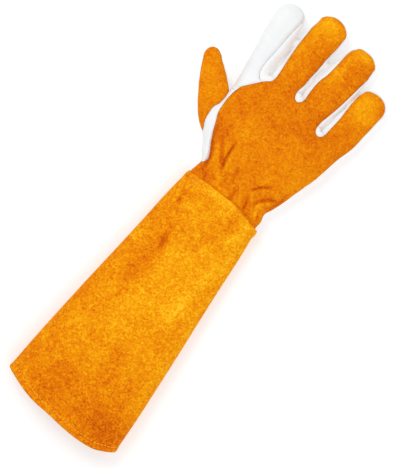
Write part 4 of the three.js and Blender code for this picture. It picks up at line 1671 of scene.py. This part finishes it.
@dataclass
class Hand:
    """The hand of the glove, cut from one leather shell into its panels."""

    shape: HandShape = field(default_factory=HandShape)
    pattern: HandPattern = field(default_factory=HandPattern)
    voxel: float = 0.7
    seam_depth: float = 1.1
    seam_width: float = 1.3
    swell: float = 0.25
    below_share: float = 0.6
    side_share: float = 0.7
    # depth and half width
    joint_crease: tuple[float, float] = (0.45, 0.9)
    pinch: tuple[float, float] = (0.9, 0.8)
    patch_edge: tuple[float, float] = (0.9, 1.0)
    stitch_dent: tuple[float, float] = (0.4, 0.8)
    # half width of the shade along a pinch
    pinch_shade: float = 0.9
    # height, size and seed of the slackness of soft leather
    ripples: Table = ((0.35, 17.0, 0.0), (0.12, 5.0, 3.7))
    patch_ripples: Table = ((0.25, 9.0, 4.4),)
    # the wrinkles across the underside, with how their lumps are squeezed along each axis
    cross_ripples: Table = ((0.2, 6.0, 2.9),)
    stretch: tuple[float, float, float] = (0.5, 1.6, 0.5)
    patch_stitch: Stitch = Stitch(2.7, 1.9, 0.62)
    thumb_stitch: Stitch = Stitch(2.7, 1.9, 0.55)
    # how far the two rows at the thumb's base are from their seam
    thumb_rows: tuple[float, float] = (-1.5, 1.5)
    # patches partly of the suede's own mottle and partly painted light on ridges and painted shade in creases
    # and hollows
    shading: Shading = Shading((
        (-26, 168, 6, 30, 0.14), (-17, 188, 13, 10, 0.3), (-9, 140, 8, 26, -0.08), (14, 163, 5, 20, 0.2),
        (24, 186, 13, 6, 0.24), (27, 160, 8, 14, -0.12), (50, 150, 10, 14, 0.2), (60, 136, 6, 16, 0.1),
        (52, 112, 9, 14, -0.1), (8, 94, 42, 20, -0.1), (-44, 40, 5, 22, -0.12), (44, 56, 8, 20, 0.02),
        (-20, 62, 5, 20, 0.07), (-75, 78, 12, 24, 0.08), (-33, 10, 7, 7, -0.12), (10, 40, 24, 16, 0.0),
        (-26, 8, 3, 5, -0.16), (-35, 60, 4, 22, -0.08), (30, 8, 3, 6, 0.2), (24, 8, 4, 5, -0.1),
        (32, 36, 12, 6, 0.06), (-12, 36, 6, 10, 0.06),
    ))

    def outer(self) -> Mesh:
        """Returns the outer skin with its seams and creases drawn in.

        Returns:
            A closed mesh.
        """
        skin, pattern = self.shape.skin(0, self.voxel), self.pattern
        points, normals = points_of(skin), normals_of(skin)
        above, below, creased, pinched, forked = (
            distance_to(lines, points)
            for lines in (pattern.seams_above(), pattern.seams_below(), pattern.joint_creases(),
                          pattern.pinches(), pattern.finger_seams()))
        upper = smoothstep(points[:, 2], 7, 10) * smoothstep(normals[:, 2], -0.3, 0.1)
        lower = (1 - smoothstep(points[:, 2], 3, 7)) * smoothstep(-normals[:, 2], -0.2, 0.2)
        on_thumb = smoothstep(-points[:, 0] - 0.55 * points[:, 1], 20, 30) > 0.5
        side = np.abs(points[:, 2] - np.where(on_thumb, THUMB_SEAM_HEIGHT, SIDE_SEAM_HEIGHT))
        on_side = (1 - smoothstep(np.abs(normals[:, 2]), 0.6, 0.95)) * smoothstep(forked, 6, 11)
        sink = self.groove(above) * upper + self.below_share * self.groove(below) * lower
        sink += self.side_share * self.groove(side) * on_side
        for away, (depth, width), share in (
            (creased, self.joint_crease, lower),
            (pinched, self.pinch, smoothstep(normals[:, 2], -0.2, 0.2)),
        ):
            sink += depth * bell(away, width) * share
        sink -= rippled(points, self.ripples) + lower * rippled(points * self.stretch, self.cross_ripples)
        return sunk(skin, points, sink, normals)

    def groove(self, away: Array) -> Array:
        """Returns how deep the leather dips at a distance from a seam, with a slight swell beside it."""
        return self.seam_depth * bell(away, self.seam_width) - self.swell * bell(away - 3.6, 1.8)

    def patch_skin(self) -> Mesh:
        """Returns the patch's outer skin, with its edge rounded and its stitches pulled in.

        Returns:
            A closed mesh.
        """
        skin = self.shape.skin(PATCH_LIFT, 0.85, with_thumb=False)
        points, normals = points_of(skin), normals_of(skin)
        edge = distance_to([closed(self.pattern.patch(), 0.4)], points)
        rows = distance_to([dense(run, 0.4) for run in self.pattern.patch_rows()], points)
        sink = sum(depth * bell(away, width) for away, (depth, width) in (
            (edge, self.patch_edge), (rows, self.stitch_dent)))
        sink -= rippled(points, self.patch_ripples)
        return sunk(skin, points, sink * smoothstep(-normals[:, 2], 0.1, 0.5), normals)

    def build(self, place: Place, leathers: Leathers, stitcher: Stitcher) -> None:
        """Makes the panels and sews them.

        Args:
            place: where the pieces go.
            leathers: the finishes of the panels.
            stitcher: what sews the rows.
        """
        outer, inner = self.outer(), self.shape.skin(-LEATHER, 1.6)
        rest = cut(outer, inner, Cut.REMOVE)
        pattern, crotches = self.pattern, self.shape.crotches
        cuts = [
            ("back", "back_panel", pattern.back(), SIDE_SEAM_HEIGHT, FAR, "suede"),
            *((f"strip_{crotch.name}", f"fourchette_{crotch.name}", pattern.strip(crotch), -FAR, FAR, "strip")
              for crotch in crotches),
            ("thumb_suede", "thumb_back", pattern.thumb(), THUMB_SEAM_HEIGHT, FAR, "suede"),
            ("index_finger_back", "index_back", pattern.index(), SIDE_SEAM_HEIGHT, FAR, "grain"),
            ("thumb_leather", "thumb_front", pattern.thumb_front(), -FAR, THUMB_SEAM_HEIGHT - SEAM_GAP,
             "grain"),
        ]
        slots = {"suede": "suede", "strip": "strip_leather", "grain": "grain_leather"}
        for name, node, outline, low, high, leather in cuts:
            made = cut(rest, block(outline, low, high), Cut.KEEP)
            rest = cut(rest, block(outline, low, high, SEAM_GAP), Cut.REMOVE)
            points, normals = points_of(made), normals_of(made)
            tone, rim = 0.0, None
            if leather == "suede":
                tone = self.shading.tone(points, normals, self.shape.gathers)
            if leather == "strip":
                # painted shade along the pinched crease in the middle of each strip, which also counts as a
                # cut edge and so gets the cut edges' darkening too
                pinched = distance_to(pattern.pinches(), points) + FAR * (normals[:, 2] < 0)
                tone = -bell(pinched, self.pinch_shade)
                rim = np.minimum(distance_to(pattern.finger_seams(), points), pinched)
            place.piece(name, made, getattr(leathers, leather), slots[leather], (node,), tone, rim)
        place.piece("palm_leather", rest, leathers.grain, "grain_leather", ("palm_panel",))
        layer = cut(self.patch_skin(), outer, Cut.REMOVE)
        patch = cut(layer, block(pattern.patch(), -FAR, SIDE_SEAM_HEIGHT), Cut.KEEP)
        face = Surface(patch)
        rows = [face.under(dense(run)) for run in pattern.patch_rows()]
        stitcher.sew("patch_thread", "suede", rows, self.patch_stitch)
        seam, face = dense(pattern.thumb_base), Surface(outer)
        rows = [face.under(beside(seam, away)) for away in self.thumb_rows]
        stitcher.sew("thumb_thread", "grain_leather", rows, self.thumb_stitch)
        place.piece("patch_suede", patch, leathers.suede, "suede", ("palm_patch",))


@dataclass
class Cuff:
    """The long flared cuff with its turned hem, and the band over the wrist seam."""

    length: float = 249
    hem_lean: float = 3.5
    # share of half the mouth's width, and how far the hem hangs below its corners
    hem_line: Line = (
        (-1, 2.1), (-0.84, 4.7), (-0.67, 7.6), (-0.42, 10.3), (-0.13, 10.6), (0.2, 11.4), (0.36, 11.3),
        (0.54, 10.3), (0.75, 7.5), (0.88, 3.5), (1, -0.7),
    )
    mouth_width: float = 127
    mouth_depth: float = 30
    wrist_width: float = 85
    wrist_depth: float = 22.5
    wrist_slope: float = 7
    band_width: float = BAND_WIDTH
    band_lift: float = 1.5
    band_shift: float = 0.9
    band_rows: tuple[float, float] = (0.13, 0.87)
    band_height: float = 1.1
    band_edges: tuple[float, float] = (0.5, 0.12)
    band_pucker: Table = ((0.35, 6.0, 2.2), (0.2, 2.6, 8.1))
    # share of the length, of the flare and of the band's lift at each section
    stations: Table = (
        (0, 0, 1), (0.045, 0.05, 0.9), (0.09, 0.12, 0.4), (0.14, 0.18, 0), (0.25, 0.28, 0),
        (0.4, 0.44, 0), (0.55, 0.61, 0), (0.7, 0.76, 0), (0.85, 0.9, 0), (1, 1, 0), (1.04, 1.03, 0),
    )
    # from the hem's edge: the row of stitches, the start of the roll and the end of the turned-in leather
    hem_stitches: float = 6.0
    roll_start: float = 1.2
    turned_in: float = 8.5
    roll_reach: float = 1.4
    hem_swell: float = 0.5
    hem_depth: float = 3.1
    side_seam: float = 0.8
    slackness: Table = ((0.9, 38.0, 1.3), (0.3, 11.0, 5.1))
    tacks: tuple[Line, ...] = (
        ((-35.5, 2.2), (-28.5, 1.8)), ((-35.5, -5.2), (-28.5, -5.6)),
        ((-34.5, 1.6), (-32, -5)), ((-32, 1.6), (-29.5, -5)),
    )
    tack_height: float = 26.0
    hem_stitch: Stitch = Stitch(3.6, 2.9, 1.0)
    band_stitch: Stitch = Stitch(2.3, 1.6, 0.55)
    tack_stitch: Stitch = Stitch(1.3, 1.5, 0.7)
    # patches partly of the suede's own mottle and partly painted light on ridges and painted shade in
    # grooves; the last number is the painted shade in the folds
    shading: Shading = Shading((
        (10, -75, 34, 62, 0.05), (-53, -120, 6, 110, -0.07), (0, -238, 80, 36, -0.19),
        (44, -232, 24, 22, -0.24), (30, -24, 4, 9, 0.16), (31, -58, 3, 12, 0.12), (30, -102, 4, 20, 0.15),
        (20, -18, 5, 5, -0.09), (-22, -67, 2.4, 8, -0.34), (-33, -27, 3, 5, -0.26),
        (-15, -24, 22, 5, 0.08), (8, -40, 5, 12, -0.1), (-8, -105, 9, 24, 0.06), (52, -140, 8, 70, 0.08),
        (-33, -60, 9, 14, -0.1), (18, -165, 12, 28, 0.03),
    ), 0.1)
    band_shading: Shading = Shading(((-3, 0, 24, 7, 0.1), (-40, 0, 8, 9, -0.16), (36, -7, 5, 6, 0.14)))
    folds: tuple[Fold, ...] = (
        Fold(((26, -75), (28, -105), (31, -137)), -1.2, 8.0),
        Fold(((-20, -50), (-23, -85), (-25, -125)), 1.3, 8.0),
        Fold(((10, -137), (12, -180), (13, -224)), 1.0, 9.0),
        Fold(((-31, 2), (-31.3, -12), (-33, -30), (-34, -40)), 1.0, 1.6),
        Fold(((36, -2), (37, -12), (33, -24)), -0.7, 5.0),
        Fold(((22, -8), (22.5, -22), (21, -38)), 0.6, 4.0),
        Fold(((-23, -35), (-22.5, -55), (-21.5, -70)), 0.6, 2.5),
        Fold(((-8, -8), (-9, -20), (-6, -34)), 0.5, 4.0),
        Fold(((35, -72), (38, -80), (39, -95)), 0.5, 2.8),
    )

    def turns(self, count: int) -> Array:
        """Returns angles that space points evenly round the middle section.

        Args:
            count: how many points there are.

        Returns:
            An angle for each point.
        """
        angle = np.linspace(0, 2 * math.pi, 4000)
        points = self.surface(angle, np.full_like(angle, 0.5), np.zeros_like(angle))
        arc = np.r_[0, np.cumsum(np.linalg.norm(np.diff(points, axis=0), axis=1))]
        return np.interp(np.linspace(0, arc[-1], count, endpoint=False), arc, angle)

    def surface(self, turn: Array, along: Array, grow: Array) -> Array:
        """Finds points of the cuff's surface.

        Args:
            turn: angles round the section, from the little finger's side over the top.
            along: shares of the length, from the wrist to the hem.
            grow: how far each point is moved outwards.

        Returns:
            The points, one row each.
        """
        flare, lift = through(self.stations, along).T
        half = (self.wrist_width + (self.mouth_width - self.wrist_width) * flare) / 2 + grow
        base = self.band_lift * np.clip(lift, 0, 1)
        top = base + self.wrist_depth + (self.mouth_depth - self.wrist_depth) * flare
        centre = base + SECTION_CENTRE * (top - base)
        x = half * signed_power(np.cos(turn), 2 / ROUNDNESS)
        x += self.band_shift * (1 - smoothstep(along * self.length, 0, 10))
        z = centre + (top - centre + grow) * signed_power(np.sin(turn), 2 / ROUNDNESS)
        z = smooth_max(z, base - grow, 1.0)
        fall = self.wrist_slope * smoothstep(2 * x / self.wrist_width, 0.1, 1.1)
        across = np.clip(2 * x / self.mouth_width, -1, 1)
        hem = self.hem_lean * across + through(self.hem_line, across)[:, 0]
        y = (CUFF_START - fall) * (1 - along) + (CUFF_START - self.length - hem) * along
        return np.stack([x, y, z], axis=-1)

    def swept(self, profile: Array, count: int, flatter: float = 0.0) -> tuple[Array, Array, Array]:
        """Sweeps a closed profile round the cuff.

        Args:
            profile: rows of along and grow, outside first.
            count: points round each ring.
            flatter: how much less the profile grows at the sides of the cuff.

        Returns:
            The points, each point's angle and each point's row of the profile.
        """
        turn = np.tile(self.turns(count), len(profile))
        along, grow = np.repeat(profile, count, axis=0).T
        grow = grow * (1 - flatter * smoothstep(np.abs(np.cos(turn)), 0.75, 1))
        return self.surface(turn, along, grow), turn, np.repeat(np.arange(len(profile)), count)

    def slack(self, points: Array, turn: Array) -> Array:
        """Returns points of the cuff with the folds and the slackness of soft leather on its upper side.

        Args:
            points: the points.
            turn: the angle of each one round the cuff.

        Returns:
            The moved points.
        """
        upper = smoothstep(np.sin(turn), 0.0, 0.5)
        points = pressed(points, upper, self.folds)
        points[:, 2] += upper * rippled(points, self.slackness)
        points[:, 2] = np.maximum(points[:, 2], 0.0)
        return points

    def leather(self, columns: int = 300) -> Mesh:
        """Returns the cuff's leather with its turned hem.

        Args:
            columns: points round each ring.

        Returns:
            A closed mesh.
        """
        mm = 1 / self.length
        start = 1 - self.roll_start * mm
        out = np.linspace(0, start, 235)
        from_hem = (1 - out) * self.length
        swell = self.hem_swell * smoothstep(self.hem_stitches + 2.5 - from_hem, 0, 2)
        swell -= 0.75 * bell(from_hem - self.hem_stitches, 1.1)
        turn = np.linspace(0, math.pi, 9)[1:-1]
        middle, half = (self.hem_swell - self.hem_depth) / 2, (self.hem_swell + self.hem_depth) / 2
        roll = np.c_[start + self.roll_reach * mm * np.sin(turn), middle + half * np.cos(turn)]
        back = np.linspace(start, 0, 40)
        inside = np.where((1 - back) * self.length < self.turned_in, -self.hem_depth, -LEATHER)
        profile = np.vstack([np.c_[out, swell], roll, np.c_[back, inside]])
        points, turn, row = self.swept(profile, columns)
        off_seam = points[:, 2] - SIDE_SEAM_HEIGHT
        seam = bell(off_seam, 1.1) - 0.3 * bell(np.abs(off_seam) - 3.4, 1.6)
        points[:, 0] -= self.side_seam * seam * (row < len(out)) * smoothstep(np.cos(turn), 0.85, 0.95)
        faces = faces_of_grid(len(profile), columns, close_rows=True)
        return new_mesh("cuff", self.slack(points, turn), faces)

    def band(self, columns: int = 420) -> Mesh:
        """Returns the band over the wrist seam.

        Args:
            columns: points round each ring.

        Returns:
            A closed mesh.
        """
        mm = 1 / self.length
        shares = np.linspace(0, 1, 17)
        edge = self.band_edges[0] + (self.band_edges[1] - self.band_edges[0]) * shares
        swell = edge + (self.band_height - edge) * np.sin(math.pi * shares ** 0.75) ** 0.7
        for row in self.band_rows:
            swell -= 0.25 * bell(shares - row, 0.07)
        outside = np.c_[shares * self.band_width * mm, swell]
        inside = np.c_[shares[::-1][[0, 8, 16]] * self.band_width * mm, np.zeros(3)]
        profile = np.vstack([outside, inside])
        points, turn, row = self.swept(profile, columns, 0.55)
        points = self.slack(points, turn)
        made = new_mesh("band", points, faces_of_grid(len(profile), columns, close_rows=True))
        pucker = rippled(points, self.band_pucker) * (row < len(shares))
        return sunk(made, points, -pucker, normals_of(made))

    def ring(self, along: float, grow: float, wander: float = 0.0) -> Array:
        """Returns a line round the cuff at a share of its length, which wanders to both sides.

        Args:
            along: the share of the length.
            grow: how far outside the leather it runs.
            wander: how far it wanders.

        Returns:
            The points of the line.
        """
        turn = np.append(self.turns(400), 2 * math.pi)
        wave = wander * (np.sin(5 * turn) + 0.6 * np.sin(14 * turn + 1))
        return self.surface(turn, along + wave / self.length, np.full_like(turn, grow))

    def build(self, place: Place, leathers: Leathers, stitcher: Stitcher) -> None:
        """Makes the cuff's leather and its band, and sews them.

        Args:
            place: where the pieces go.
            leathers: the finishes.
            stitcher: what sews the rows.
        """
        leather, band = self.leather(), self.band()
        face = Surface(leather)
        hem = face.near(self.ring(1 - self.hem_stitches / self.length, 0.5, 0.35))
        stitcher.sew("hem_thread", "cuff_suede", [hem], self.hem_stitch)
        face = Surface(band)
        rows = [face.near(self.ring(row * self.band_width / self.length, 1.5)) for row in self.band_rows]
        stitcher.sew("band_thread", "suede", rows, self.band_stitch)
        lines = [dense(line, 0.5) for line in self.tacks]
        tacks = [face.near(np.c_[line, np.full(len(line), self.tack_height)]) for line in lines]
        stitcher.sew("tack_thread", "suede", tacks, self.tack_stitch)
        tone = self.shading.tone(points_of(leather), normals_of(leather), self.folds)
        place.piece("cuff_leather", leather, leathers.cuff, "cuff_suede", ("gauntlet_cuff",), tone)
        tone = self.band_shading.tone(points_of(band), normals_of(band), ())
        place.piece("band_leather", band, leathers.band, "suede", ("wrist_band",), tone, rim=FAR)


@dataclass
class Studio:
    """The floor, the light and the camera."""

    centre: tuple[float, float] = (0.02295, -0.00301)
    turn: float = 37.5
    lens: float = 150
    frame_height: float = 0.4376
    back_of_hand: float = 0.012
    floor_reach: float = 4.0
    floor_height: float = -0.0003
    sky: float = 0.72
    # name, place, size and power
    lamps: tuple[tuple[str, tuple[float, float, float], float, float], ...] = (
        ("key", (-1.0, 0.45, 1.35), 0.8, 9),
        ("fill", (1.1, -0.5, 1.4), 1.4, 7.5),
    )

    def build(self) -> None:
        """Makes the floor, the lights and the camera."""
        scene = bpy.context.scene
        scene.view_settings.view_transform = "Standard"
        reach = self.floor_reach
        corners = [(-reach, -reach), (reach, -reach), (reach, reach), (-reach, reach)]
        sheet = new_mesh("floor", [(*corner, self.floor_height) for corner in corners], [(0, 1, 2, 3)])
        sheet.materials.append(Board("pale_board").material())
        linked("floor", sheet)
        scene.world = bpy.data.worlds.new("studio")
        scene.world.use_nodes = True
        light = scene.world.node_tree.nodes["Background"].inputs
        light["Color"].default_value = (1, 1, 1, 1)
        light["Strength"].default_value = self.sky
        for name, where, size, power in self.lamps:
            data = bpy.data.lights.new(name, "AREA")
            data.size, data.energy = size, power
            lamp = linked(name, data)
            lamp.location = where
            lamp.rotation_euler = (-Vector(where)).to_track_quat("-Z", "Y").to_euler()
        data = bpy.data.cameras.new("camera")
        data.lens = self.lens
        camera = linked("camera", data)
        away = self.frame_height * self.lens / data.sensor_width
        camera.location = (*self.centre, self.back_of_hand + away)
        camera.rotation_euler = (0, 0, math.radians(self.turn))
        scene.camera = camera


def main() -> None:
    """Builds the gauntlet and its studio."""
    effects = Effects()
    strip = GrainLeather("strip_leather", roughness=0.6, specular=0.3, shade=(0.78, 0.79, 0.80))
    leathers = Leathers(
        suede=Suede("orange_suede", sheen=0.1, lean=-0.08, weights=(0.45, 0.7, 1.05)).material(effects),
        cuff=Suede("cuff_suede", sheen=0.1, lean=0.06, cloud_size=0.034).material(effects),
        band=Suede("band_suede", sheen=0.1, lean=0.1, brush_size=0.0035).material(effects),
        grain=GrainLeather("pale_grain_leather", roughness=0.55, specular=0.3).material(effects),
        strip=strip.material(effects),
    )
    place = Place()
    stitcher = Stitcher(place, Thread("cream_thread", roughness=0.8, specular=0.1).material(effects))
    Hand().build(place, leathers, stitcher)
    Cuff().build(place, leathers, stitcher)
    Studio().build()


if __name__ == "__main__":
    main()
